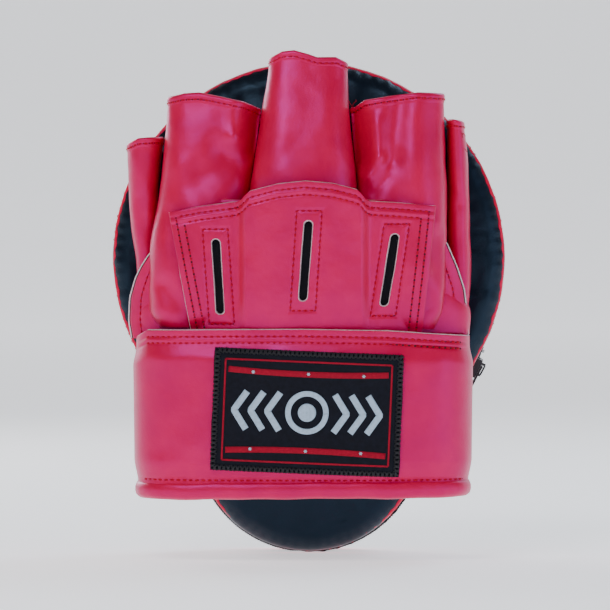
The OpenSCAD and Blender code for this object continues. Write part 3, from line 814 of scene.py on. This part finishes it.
for body, (table, z0, top, folds, seed, (z_a, z_b), more) in SLEEVES.items():
    tube_, thread, sleeve_grid[body] = sleeve(body + "_tube", table, z0, top, folds, seed, **more)
    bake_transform(tube_)
    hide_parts(body + "_sleeve")
    place(thread, body=body, slot="thread")


def sleeve_front(table, x, z):
    """Depth of a sleeve's front at (x, z), and a depth behind everything where there is no sleeve."""
    xc, hw, yf, yb = profile(table)(np.clip(z, table[0][0], table[-1][0]))
    return np.where(np.abs((x - xc) / hw) < 1, front(x, hw, yf, (yf + yb) / 2, SLEEVE_P, xc), 40.0)


# ---------------------------------------------------------------- hand back under the panel
HAND = [[-19, -3, 85.5, -19, 18], [-4, -3, 85, -19, 18], [4, -3.4, 80, -19, 18], [11, -3.6, 74, -19.5, 18],
    [30, -3.6, 73, -20, 18], [50, -3.6, 72.5, -20.5, 18]]


def ring_loft(table, zs, nu, pf, pb):
    f = profile(table)
    c, s = np.cos(circle(nu)), np.sin(circle(nu))
    p = np.where(s < 0, pf, pb)
    P = np.zeros((nu, len(zs), 3))
    for j, z in enumerate(zs):
        xc, hw, yf, yb = [float(q[0]) for q in f(np.array([z]))]
        ym = yb - 14
        hd = np.where(s < 0, ym - yf, yb - ym)
        P[:, j] = np.stack([xc + hw * power(c, 2 / p), ym + hd * power(s, 2 / p), np.full(nu, float(z))], 1)
    return P


P_hand = ring_loft(HAND, np.linspace(-19, 50, 48), 200, 2.6, 7)
P_hand[:, :, 1] += fnoise(P_hand, 40, 2.2) * 0.5
hand = sheet("hand_back", P_hand, 1.6, LEATHER, close_u=True)

# ---------------------------------------------------------------- knuckle panel
TOPX = [-71.3, -55, -37, -34.6, -32.6, -30.2, -16, -2, 12, 24.6, 26.8, 28.8, 31, 46, 64.7]
TOPZ = [43.6, 46.6, 48.9, 49.9, 52.0, 54.2, 57.9, 59.4, 58.2, 55.0, 52.8, 50.4, 49.2, 48.3, 46.8]


def panel_height(x, z):
    base = front(x, 78, -27.4, 19, 2.8, -3.5)
    s = np.minimum(sleeve_front(INDEX, x, z), sleeve_front(RING, x, z)) - 2.5
    base = smin(base, s, 5.0)
    step = sm(x, -36.2, -31.6) * (1 - sm(x, 26.2, 31.0))
    base = base - 3.4 * step * (0.2 + 0.8 * sm(z, -20, 4))
    base = base + 0.9 * (1 - sm(z, -20, -8))
    base += 1.0 * bell(x, -37.5, 2.6) * sm(z, -20, 0) + 0.8 * bell(x, 32.4, 2.6) * sm(z, -20, 0)
    q = flat(x, z)
    base += fnoise(q, 34, 3.3) * 0.7 + fnoise(q, 12, 8.3) * 0.18
    # soft pillows between the slots, and the pull of the stitching along the edges
    for sx, sz, lean_, l in SLOTS:
        dx = x - sx + (z - sz) * lean_
        box_d = np.maximum(np.abs(dx) - 6.4, np.abs(z - sz) - l / 2 - 5.2)
        base += 0.55 * bell(box_d, 0, 0.9) - 0.35 * (1 - sm(box_d, -5, 0.5))
    top = np.interp(x, TOPX, TOPZ)
    for off in (3.2, 6.8):
        base += 0.4 * bell(top - z, off, 0.7)
    base -= 0.5 * bell(top - z, 5.0, 1.1)
    return base


# the panel's side edges run from these points at its bottom to the ends of its top line
BASE_Z = -21
LEFT, RIGHT = ((-59.0, BASE_Z), (TOPX[0], TOPZ[0])), ((57.2, BASE_Z), (TOPX[-1], TOPZ[-1]))
# slots: x, z, lean, length
SLOTS = [(-45.9, 10.9, 0.07, 38.0), (-1.4, 19.0, -0.065, 40.5), (41.1, 14.3, -0.15, 36.5)]
u, v = np.linspace(0, 1, 260)[:, None], np.linspace(0, 1, 150)[None]
(l0, l1), (r0, r1) = [[end[0] for end in edge] for edge in (LEFT, RIGHT)]
px = (l0 + (l1 - l0) * v) * (1 - u) + (r0 + (r1 - r0) * v) * u
pz = BASE_Z + (np.interp(l1 * (1 - u) + r1 * u, TOPX, TOPZ) - BASE_Z) * v
P_panel = np.stack([px, panel_height(px, pz), pz], -1)
# cut edges curl down a little towards what lies under them
eu = np.minimum(np.arange(260), np.arange(260)[::-1])[:, None] * 0.5
ev = (np.arange(150)[::-1])[None] * 0.45
P_panel[:, :, 1] += 0.25 * np.exp(-eu / 0.8) + 0.2 * np.exp(-ev / 0.8)
panel = sheet("knuckle_panel", P_panel, 1.5, LEATHER, lip=0.6)


def slot_cutter(sx, sz, lean_, l, w, wig, deep=False):
    """A rounded slot to cut with: deep goes through the hand back, the other through the panel."""
    n = 40
    k = circle(n)
    lz = np.where(np.sin(k) >= 0, 1, -1) * (l - w) / 2 + w / 2 * np.sin(k)
    lx = w / 2 * np.cos(k) + wig * np.sin(lz / l * 5.1 + 1)
    X = sx + lx - lz * lean_
    Z = sz + lz
    if deep:
        P = np.stack([np.stack([X, np.full(n, y), Z], 1) for y in (-60.0, -4.0)], 1)
    else:  # wider at the front, so the cut's pale wall shows
        Y = panel_height(X, Z)
        a, b = (X - sx + (Z - sz) * lean_) * 0.42, (Z - sz) * 0.055
        P = np.stack([np.stack([X + a * k[0], Y + k[1], Z + b * k[0]], 1) for k in ((1, -1.6), (-1, 3.4))], 1)
    return skin("cut", P, LEATHER, True, cap=True)


def cut(ob, cutter, rim):
    """Cut a piece, give the cut's walls the material numbered rim, and remove the cutter."""
    cutter.data.polygons.foreach_set("material_index", np.full(len(cutter.data.polygons), rim, np.int32))
    m = ob.modifiers.new("cut", "BOOLEAN")
    m.operation, m.solver, m.object = "DIFFERENCE", "EXACT", cutter
    bpy.context.view_layer.objects.active = ob
    bpy.ops.object.modifier_apply(modifier=m.name)
    bpy.data.objects.remove(cutter)


patches = []
for i, (sx, sz, ln, l) in enumerate(SLOTS):
    cut(panel, slot_cutter(sx, sz, ln, l, 4.3, 0.4), 2)
    cut(hand, slot_cutter(sx, sz, ln, l + 2.2, 7.2, 0.25, True), 1)
    gu, gv = grid(np.linspace(-4.6, 4.6, 8), np.linspace(-l / 2 - 3, l / 2 + 3, 24))
    X, Z = sx + gu - gv * ln, sz + gv
    behind = np.stack([X, panel_height(X, Z) + 2.1 + 0.5 * bell(gu, 0, 2), Z], -1)
    patches.append(sheet(f"slot_lining{i}", behind, 0.8, [M_lining] * 3))
place(panel, "knuckle_panel_thumb_side", "knuckle_panel_little_side", "knuckle_panel_center", slot="red_pu")
place(join("slot_lining", patches), "vent_facings", slot="facing")
place(hand, "hand_back_lower", "hand_back_upper", "pocket_lining_lower", "pocket_lining_upper", slot="red_pu")


def h_normal(H, x, z):
    e = 0.6
    gx = (H(x + e, z) - H(x - e, z)) / (2 * e)
    gz = (H(x, z + e) - H(x, z - e)) / (2 * e)
    return unit(np.stack([gx, -np.ones_like(gx), gz], -1))


def h_row(name, H, pts, pitch=3.1, length=2.15, r=0.40, **kw):
    """Stitches along a line of (x, z) points, on the surface whose depth is H(x, z)."""
    pts = np.array(pts, float)
    s = arc(pts)
    q = np.linspace(0, s[-1], max(8, int(s[-1] / 1.5)))
    x, z = along(q, s, pts).T
    return stitches(name, np.stack([x, H(x, z), z], -1), h_normal(H, x, z), pitch, length, r, **kw)


def box(a, b):
    """The corners of a box with half sides a and b, back to the first."""
    return [(-a, -b), (a, -b), (a, b), (-a, b), (-a, -b)]


def edge_x(z, edge):
    (x0, z0), (x1, z1) = edge
    return x0 + (x1 - x0) * (z - z0) / (z1 - z0)


rows = []
tx = np.linspace(-69.3, 62.6, 90)
tz = np.interp(tx, TOPX, TOPZ)
for k, off in enumerate((3.2, 6.9)):
    inset = 3.2 + 3.8 * k
    sel = (tx > edge_x(tz - off, LEFT) + inset) & (tx < edge_x(tz - off, RIGHT) - inset)
    rows.append(h_row(f"kn_top{k}", panel_height, np.stack([tx[sel], tz[sel] - off], 1)))
    for side, edge, sgn in (("l", LEFT, 1), ("r", RIGHT, -1)):
        za = np.linspace(-18, edge[1][1] - off, 40)
        rows.append(h_row(f"kn_{side}{k}", panel_height, np.stack([edge_x(za, edge) + sgn * inset, za], 1)))
for i, (sx, sz, ln, l) in enumerate(SLOTS):
    line = [(sx + a - b * ln, sz + b) for a, b in box(6.4, l / 2 + 5.0)]
    rows.append(h_row(f"kn_s{i}", panel_height, line))
place(join("knuckle_stitching", rows), "knuckle_thread", slot="thread")


# ---------------------------------------------------------------- side wings
def wing(name, outer, inner_x, front_y, node, seed):
    """A flap of red leather over a black lining; outer is its raw edge, as (x, z) from the top down."""
    o = np.array(outer[::-1], float)
    z = np.linspace(o[0, 1], o[-1, 1], 60)
    xo = np.interp(z, o[:, 1], o[:, 0])
    ker = np.array([1, 2, 3, 2, 1]) / 9
    xo = np.convolve(np.pad(xo, 2, "edge"), ker, "valid")
    u = np.linspace(0, 1, 34)[:, None]
    xi = np.full_like(xo, inner_x)
    sgn = np.sign(xo.mean())
    xi = np.where(np.abs(xi) < np.abs(xo) - 1, xi, xo - sgn * 1.0)
    X = xi[None] * (1 - u) + xo[None] * u
    Z = np.broadcast_to(z[None], X.shape)

    def H(x, zz):
        seam = bell(np.abs(x), np.abs(np.interp(zz, z, xo)) - 5.2, 0.9)
        return front(x, 95, front_y, 19, 2.6, -4) + fnoise(flat(x, zz), 22, seed) * 0.6 + 0.35 * seam

    P = np.stack([X, H(X, Z), Z], -1)

    def layer(suffix, back, wider, t, mats):
        Q = P + np.array([0, back, 0])
        Q[:, :, 0] += sgn * wider * u
        return sheet(name + suffix, Q if sgn > 0 else Q[::-1], t, mats)

    place(layer("", 0, 0, 1.2, LEATHER), node, slot="red_pu")
    place(layer("_lining", 1.45, 0.5, 1.0, [M_lining] * 3), slot="lining")
    place(layer("_backing", 2.6, 1.2, 0.9, [M_raw] * 3), slot="facing")
    zz = np.linspace(z[0] + 2, z[-1] - 5, 50)
    line = np.stack([np.interp(zz, z, xo) - sgn * 5.2, zz], 1)
    place(h_row(name + "_thread", H, line, 3.1), slot="thread")


wing("wing_thumb", [(-76.5, 27), (-81, 22), (-85, 16), (-88, 10), (-91, 0), (-91.6, -12), (-90, -21)],
    -66, -19, "thumb_side_wing", 4.4)
wing("wing_little", [(66.5, 31), (69.6, 28), (75, 15.5), (78.7, 4.4), (80.2, -8), (80.8, -21)], 60, -19,
    "little_side_wing", 5.9)

# ---------------------------------------------------------------- cuff
CUFF_X, CUFF_P, CUFF_MID, CUFF_BACK = -3.0, 3.3, 6, 20
HEM_STITCH_Z = -92.3
CUFF_ROWS = 3.4, 6.6  # how far the two upper rows of stitches lie below the top edge


def cuff_depth(z):
    """Front depth and half width of the padded cuff at height z."""
    v = (np.asarray(z, float) + 101) / 84
    puff = sm(z, -95, -82) * (1 - sm(z, -32, -21))
    return -30.6 - 3.4 * puff, 84.6 + 1.8 * puff + 0.9 * v


def cuff_flat(x, z):
    """Depth of the cuff's front before any folds."""
    yf, hw = cuff_depth(z)
    return front(x, hw, yf, CUFF_MID, CUFF_P, CUFF_X)


CUFF_DENTS = [(-66, -90, -54, -82, 6, 1.1), (-80, -84, -66, -88, 5, -0.7), (60, -88, 74, -84, 7, 0.6),
    (-50, -26, -20, -28, 5, 0.4), (20, -27, 60, -29, 5, 0.5)]


def cuff_height(x, z):
    q = flat(x, z)
    y = cuff_flat(x, z) + fnoise(q * np.array([1, 1, 0.6]), 38, 12.2) * 0.9 + fnoise(q, 13, 2.9) * 0.16
    top = cuff_top(x)
    for off in CUFF_ROWS:
        y = y + 0.5 * bell(top - z, off, 0.7)
    y = y - 0.5 * bell(top - z, 5.0, 1.1)
    y = y + 0.8 * bell(z, HEM_STITCH_Z, 1.1) + crease_sum(x, z, CUFF_DENTS)
    return y


def cuff_top(x):
    x = np.asarray(x, float)
    return np.interp(x, [-90, -89.3, -82.4, -40, -2, 40, 80, 84],
        [-21.0, -20.6, -16.4, -16.0, -15.8, -16.6, -19.4, -20.0])


def cuff_section(n, hw, yf, yb):
    """One turn round the cuff: x, y and the sine of the turn."""
    c, s = np.cos(circle(n)), np.sin(circle(n))
    e = 2 / CUFF_P
    front_y = CUFF_MID - (CUFF_MID - yf) * np.abs(s) ** e
    back_y = CUFF_MID + (yb - CUFF_MID) * np.abs(s) ** (2 / 6.0)
    return CUFF_X + hw * power(c, e), np.where(s < 0, front_y, back_y), s


def cuff_loft(nu, heights, off=0.0):
    P = np.zeros((nu, len(heights), 3))
    for j, z in enumerate(heights):
        yf, hw = cuff_depth(float(z))
        P[:, j, 0], P[:, j, 1], s = cuff_section(nu, hw + off, yf - off, CUFF_BACK + off)
        P[:, j, 2] = z
    return P, s


zs = np.concatenate([np.linspace(-98.5, -80, 24), np.linspace(-79, -32, 34), np.linspace(-31, -16.5, 30)])
P_cuff, s_c = cuff_loft(420, zs)
in_front = sm(-s_c, -0.1, 0.3)[:, None]
topz = cuff_top(P_cuff[:, :, 0])
scale_top = sm(P_cuff[:, :, 2], -60, -16.5)
P_cuff[:, :, 2] += scale_top * (topz + 16.5)
x, _, z = np.moveaxis(P_cuff, -1, 0)
P_cuff[:, :, 1] += (cuff_height(x, z) - cuff_flat(x, z)) * in_front
cuff = sheet("cuff", P_cuff, 1.5, LEATHER, close_u=True, lip=0.5)
place(cuff, "cuff_cover", slot="red_pu", pad=0.7)

P_padding, _ = cuff_loft(240, np.linspace(-97, -21, 40), -2.6)
P_padding[:, :, 1] += fnoise(P_padding, 30, 6.1) * 0.3
foam = sheet("cuff_padding", P_padding, 4.6, [M_foam] * 3, close_u=True)
place(foam, "cuff_foam", slot="foam_soft", pad=0.8)

# rolled hem
hem_prof = np.array([[0.25, -93.6], [0.9, -94.6], [1.5, -96.2], [1.6, -98.2], [1.0, -100.2], [-0.6, -101.6],
    [-3.4, -102.0], [-6.4, -101.2], [-8.2, -99.2], [-8.6, -96.6], [-8.2, -94.2], [-4.5, -93.4]])
P_hem = np.zeros((420, len(hem_prof), 3))
yf0, hw0 = cuff_depth(-96.0)
for j, (off, z) in enumerate(hem_prof):
    x, y, _ = cuff_section(420, hw0 + off, yf0 - off, CUFF_BACK + off)
    wave = 0.35 * np.sin(x / 9.0) + 0.3 * np.sin(x / 4.1 + 1)
    sag = 0.8 * bell(x, -70, 40) - 0.2
    P_hem[:, j] = np.stack([x, y, z + wave * 0.4 - sag * (off > -4)], 1)
P_hem[:, :, 1] -= fnoise(P_hem, 9, 3.7) * 0.3
place(skin("hem", P_hem, [M_red], True, True), "cuff_hem", slot="red_pu", pad=0.8)

# black lining inside the cuff
P_inside, _ = cuff_loft(240, np.linspace(-98, -19, 30), -9.0)
P_inside[:, :, 1] += fnoise(P_inside, 25, 1.1) * 0.8
place(sheet("cuff_inside", P_inside, 1.0, [M_lining] * 3, close_u=True), "cuff_lining", slot="lining")
P_shelf, _ = cuff_loft(240, [-19.5, -18.8], -2.2)
inner = cuff_loft(240, [-19.5], -8.6)[0][:, 0]
bridge = np.stack([P_shelf[:, 0], P_shelf[:, 0] * 0.5 + inner * 0.5 + [0, 0, 0.5], inner], 1)
place(skin("cuff_shelf", bridge, [M_lining], True), slot="lining")

cuff_rows = []
line_x = np.linspace(-83, 77, 120)
for k, off in enumerate(CUFF_ROWS):
    row = np.stack([line_x, cuff_top(line_x) - off], 1)
    cuff_rows.append(h_row(f"cu{k}", cuff_height, row, 3.2, 2.3, 0.42))
hem_line = np.stack([np.linspace(-84, 78, 120), np.full(120, HEM_STITCH_Z)], 1)
cuff_rows.append(h_row("cu_hem", cuff_height, hem_line, 3.3, 2.4, 0.42))
place(join("cuff_stitching", cuff_rows), "cuff_thread", slot="thread")

# ---------------------------------------------------------------- label
LC, LW, LH, LA = (-1.0, -57.7), 95.5, 62.0, radians(-2.4)  # middle, width, height, tilt


def lab(u, v):
    """Label coordinates, from its middle, to (x, z)."""
    return LC[0] + u * cos(LA) - v * sin(LA), LC[1] + u * sin(LA) + v * cos(LA)


def lab_height(x, z):
    return cuff_height(x, z) - 1.0 + fnoise(flat(x, z), 30, 5.5) * 0.15


def patch(name, us, vs, lift, t, mat):
    X, Z = lab(us, vs)
    return sheet(name, np.stack([X, lab_height(X, Z) - lift, Z], -1), t, [mat], inner=0, rim=0)


U, V = grid(np.linspace(-LW / 2, LW / 2, 130), np.linspace(-LH / 2, LH / 2, 90))
edge_wob = 0.35 * np.sin(V / 5.0) * (np.abs(U) > LW / 2 - 0.5)
place(patch("label", U + edge_wob, V, 0.0, 0.8, M_label), "label_patch", slot="label")


def strip_uv(pts, w, n=60):
    """A flat ribbon of width w along a line of label coordinates."""
    pts = np.array(pts, float)
    s = arc(pts)
    q = np.linspace(0, s[-1], n)
    c = along(q, s, pts)
    t = unit(np.gradient(c, axis=0))
    nn = np.stack([-t[:, 1], t[:, 0]], 1)
    k = np.array([-0.5, -0.2, 0.2, 0.5]) * w
    G = c[:, None] + nn[:, None] * k[None, :, None]
    return G[:, :, 0], G[:, :, 1]


fw, fh = LW / 2 - 5.6, LH / 2 - 5.4
frame_lines = []
for i in range(4):
    frame_lines.append(patch(f"fr{i}", *strip_uv(box(fw, fh)[i : i + 2], 0.9), 0.16, 0.25, M_labelred))
place(join("label_line", frame_lines), "label_frame", slot="label_red")
motif = []
for sgn in (-1, 1):
    uu = np.linspace(-fw + 1.6, fw - 1.6, 40)
    vv = sgn * (fh - 5.0) - sgn * 1.3 * (1 - (uu / fw) ** 2)
    motif.append(patch(f"bar{sgn}", *strip_uv(np.stack([uu, vv], 1), 3.0), 0.18, 0.3, M_labelred))
    for k in range(-1, 2):
        a, rad = grid(np.linspace(0, TAU, 13), [0.05, 0.8])
        rad = rad * (1 + 0.25 * np.cos(a * 6))
        du, dv = k * 28 + rad * np.cos(a), sgn * (fh - 5.0 - 1.1) + rad * np.sin(a)
        motif.append(patch(f"dot{sgn}{k}", du, dv, 0.34, 0.2, M_labelsilver))
for r0, r1 in ((0.05, 4.6), (8.2, 11.0)):
    a, rad = grid(np.linspace(0, TAU, 73), np.linspace(r0, r1, 5))
    motif.append(patch(f"tgt{r0}", rad * np.cos(a), rad * np.sin(a), 0.2, 0.3, M_labelsilver))
for sgn in (-1, 1):
    for k in range(3):
        mid = sgn * (17.0 + 8.4 * k)
        pts = [(mid - sgn * 3.2, 9.6), (mid + sgn * 3.2, 0), (mid - sgn * 3.2, -9.6)]
        motif.append(patch(f"chev{sgn}{k}", *strip_uv(pts, 3.3, 30), 0.2, 0.3, M_labelsilver))
place(join("label_pattern", motif), "label_motif", slot="label_silver")

label_rows = []
corners = [lab(a, b) for a, b in box(LW / 2 - 1.3, LH / 2 - 1.3)]
for k, (turn, r) in enumerate(((58, 0.52), (-58, 0.5))):
    label_rows.append(h_row(f"lab_zig{k}", lab_height, corners, 2.3, 3.7, r, across=turn, holes=False,
        mats=[M_bthread, M_needle_shade], sink=-0.15))
place(join("label_stitching", label_rows), "label_thread", slot="thread_black")

# ---------------------------------------------------------------- palm cushion between glove and pad
zz = np.linspace(-86, 46, 40)
P_cushion = np.zeros((120, 40, 3))
cc, ss = np.cos(circle(120)), np.sin(circle(120))
for j, z in enumerate(zz):
    half = min(64, 0.92 * float(np.interp(z, [-90, -60, -30, 0, 50], [60, 72, 84, 90, 80])))
    half *= 1 - 0.18 * abs((z + 20) / 66) ** 6
    yf, yb = 19.2, float(pad_y(BACK_R, z)) + 2.2
    y = (yf + yb) / 2 + (yb - yf) / 2 * power(ss, 0.5)
    P_cushion[:, j] = np.stack([-3 + half * power(cc, 0.5), y, np.full(120, z)], 1)
P_cushion += fnoise(P_cushion, 22, 4.0)[:, :, None] * np.array([0.5, 0.2, 0])
place(skin("cushion", P_cushion, [M_black], True, cap=True), "palm_cushion", slot="black_pu", pad=0.8)


# ---------------------------------------------------------------- loose thread ends
def frayed(name, P, body, spots, seed):
    """Short curly thread ends that start on the leather P near (x, z) and wander off along (dx, dz)."""
    rng = np.random.default_rng(seed)
    pts, t = P.reshape(-1, 3), np.linspace(0, 1, 22)
    ends = []
    for k, (x, z, dx, dz) in enumerate(spots):
        a = pts[np.argmin((pts[:, 0] - x) ** 2 + (pts[:, 2] - z) ** 2 + (pts[:, 1] > 4) * 25)]
        q, c = rng.uniform(0, TAU), rng.uniform(0.5, 1.0)
        curl = np.stack([np.sin(q + 6 * t), 0.6 * np.cos(q + 5 * t), np.cos(q + 7 * t)], 1)
        path = a + t[:, None] * (np.array([dx, -0.9, dz]) + c * (curl - curl[:1]))
        ends.append(tube(f"{name}_{k}", path, 0.13, [M_thread], closed=False, sides=6))
    place(join(name, ends), body=body, slot="thread")


frayed("loose_ends", sleeve_grid["ring"], "ring",
    [(21.6, 97, -1.2, 3.4), (22.2, 97, 1.6, 4.2), (21.4, 94, -1.6, 1.2), (21.6, 90, -1.4, -2.2),
    (21.8, 87, 1.0, -3.0)], 5)
frayed("loose_ends_little", sleeve_grid["little"], "little",
    [(82, 84, 1.8, -1.2), (82, 82, 1.4, 1.6), (82, 76, 1.7, -1.8)], 8)

# ---------------------------------------------------------------- studio
# one pale sweep: flat floor, curving up into a wall well behind, with a low rise far off on the other sides
bend = [(4500 + 1500 * sin(a), 1500 - 1500 * cos(a)) for a in np.linspace(0.12, pi / 2, 12)]
prof = [(-16000, 2600), (-15600, 300), (-14900, 0), (4500, 0), *bend, (6000, 6500)]
ends_x = [(-14600, 2600), (-14200, 300), (-13500, 0), (13500, 0), (14200, 300), (14600, 2600)]
sweep = np.array([[[x, y, FLOOR_Z + max(z, h)] for y, z in prof] for x, h in ends_x])
M_floor = material("floor_pale", (0.88, 0.88, 0.89), 0.8, (), vary=0.01, rough_vary=0)
glow = M_floor.node_tree.nodes["Principled BSDF"].inputs
glow["Emission Color"].default_value, glow["Emission Strength"].default_value = (0.95, 0.96, 1.0, 1), 0.82
skin("floor", sweep, [M_floor])


def light(name, loc, size, watts, color):
    d = bpy.data.lights.new(name, "AREA")
    d.shape, d.size, d.size_y = "RECTANGLE", size[0], size[1]
    d.energy, d.color = watts, color
    ob = bpy.data.objects.new(name, d)
    ob.location = loc
    ob.rotation_euler = (-Vector(loc)).to_track_quat("-Z", "Y").to_euler()
    bpy.context.scene.collection.objects.link(ob)


light("key", (-0.45, -0.95, 1.05), (0.7, 0.5), 8.8, (1, 0.97, 1.0))
light("fill", (1.1, -0.75, 0.25), (0.5, 0.9), 2.8, (0.66, 0.80, 1.0))
light("rim", (0.7, 0.75, 1.0), (0.7, 0.6), 7, (0.62, 0.80, 1.0))
light("back", (-0.75, 1.1, 0.5), (0.7, 0.7), 7.5, (1, 0.98, 0.96))
world = bpy.data.worlds.new("studio")
bpy.context.scene.world = world
world.use_nodes = True
world.node_tree.nodes["Background"].inputs["Color"].default_value = (0.86, 0.91, 1.0, 1)
world.node_tree.nodes["Background"].inputs["Strength"].default_value = 0.15

cam = bpy.data.cameras.new("camera")
cam.lens, cam.sensor_width = 288, 36
camera = bpy.data.objects.new("camera", cam)
camera.location = (0.0, -2.5, 0.05)
aim = Vector((-0.002, 0, -0.004)) - Vector(camera.location)
camera.rotation_euler = aim.to_track_quat("-Z", "Y").to_euler()
bpy.context.scene.collection.objects.link(camera)
bpy.context.scene.camera = camera
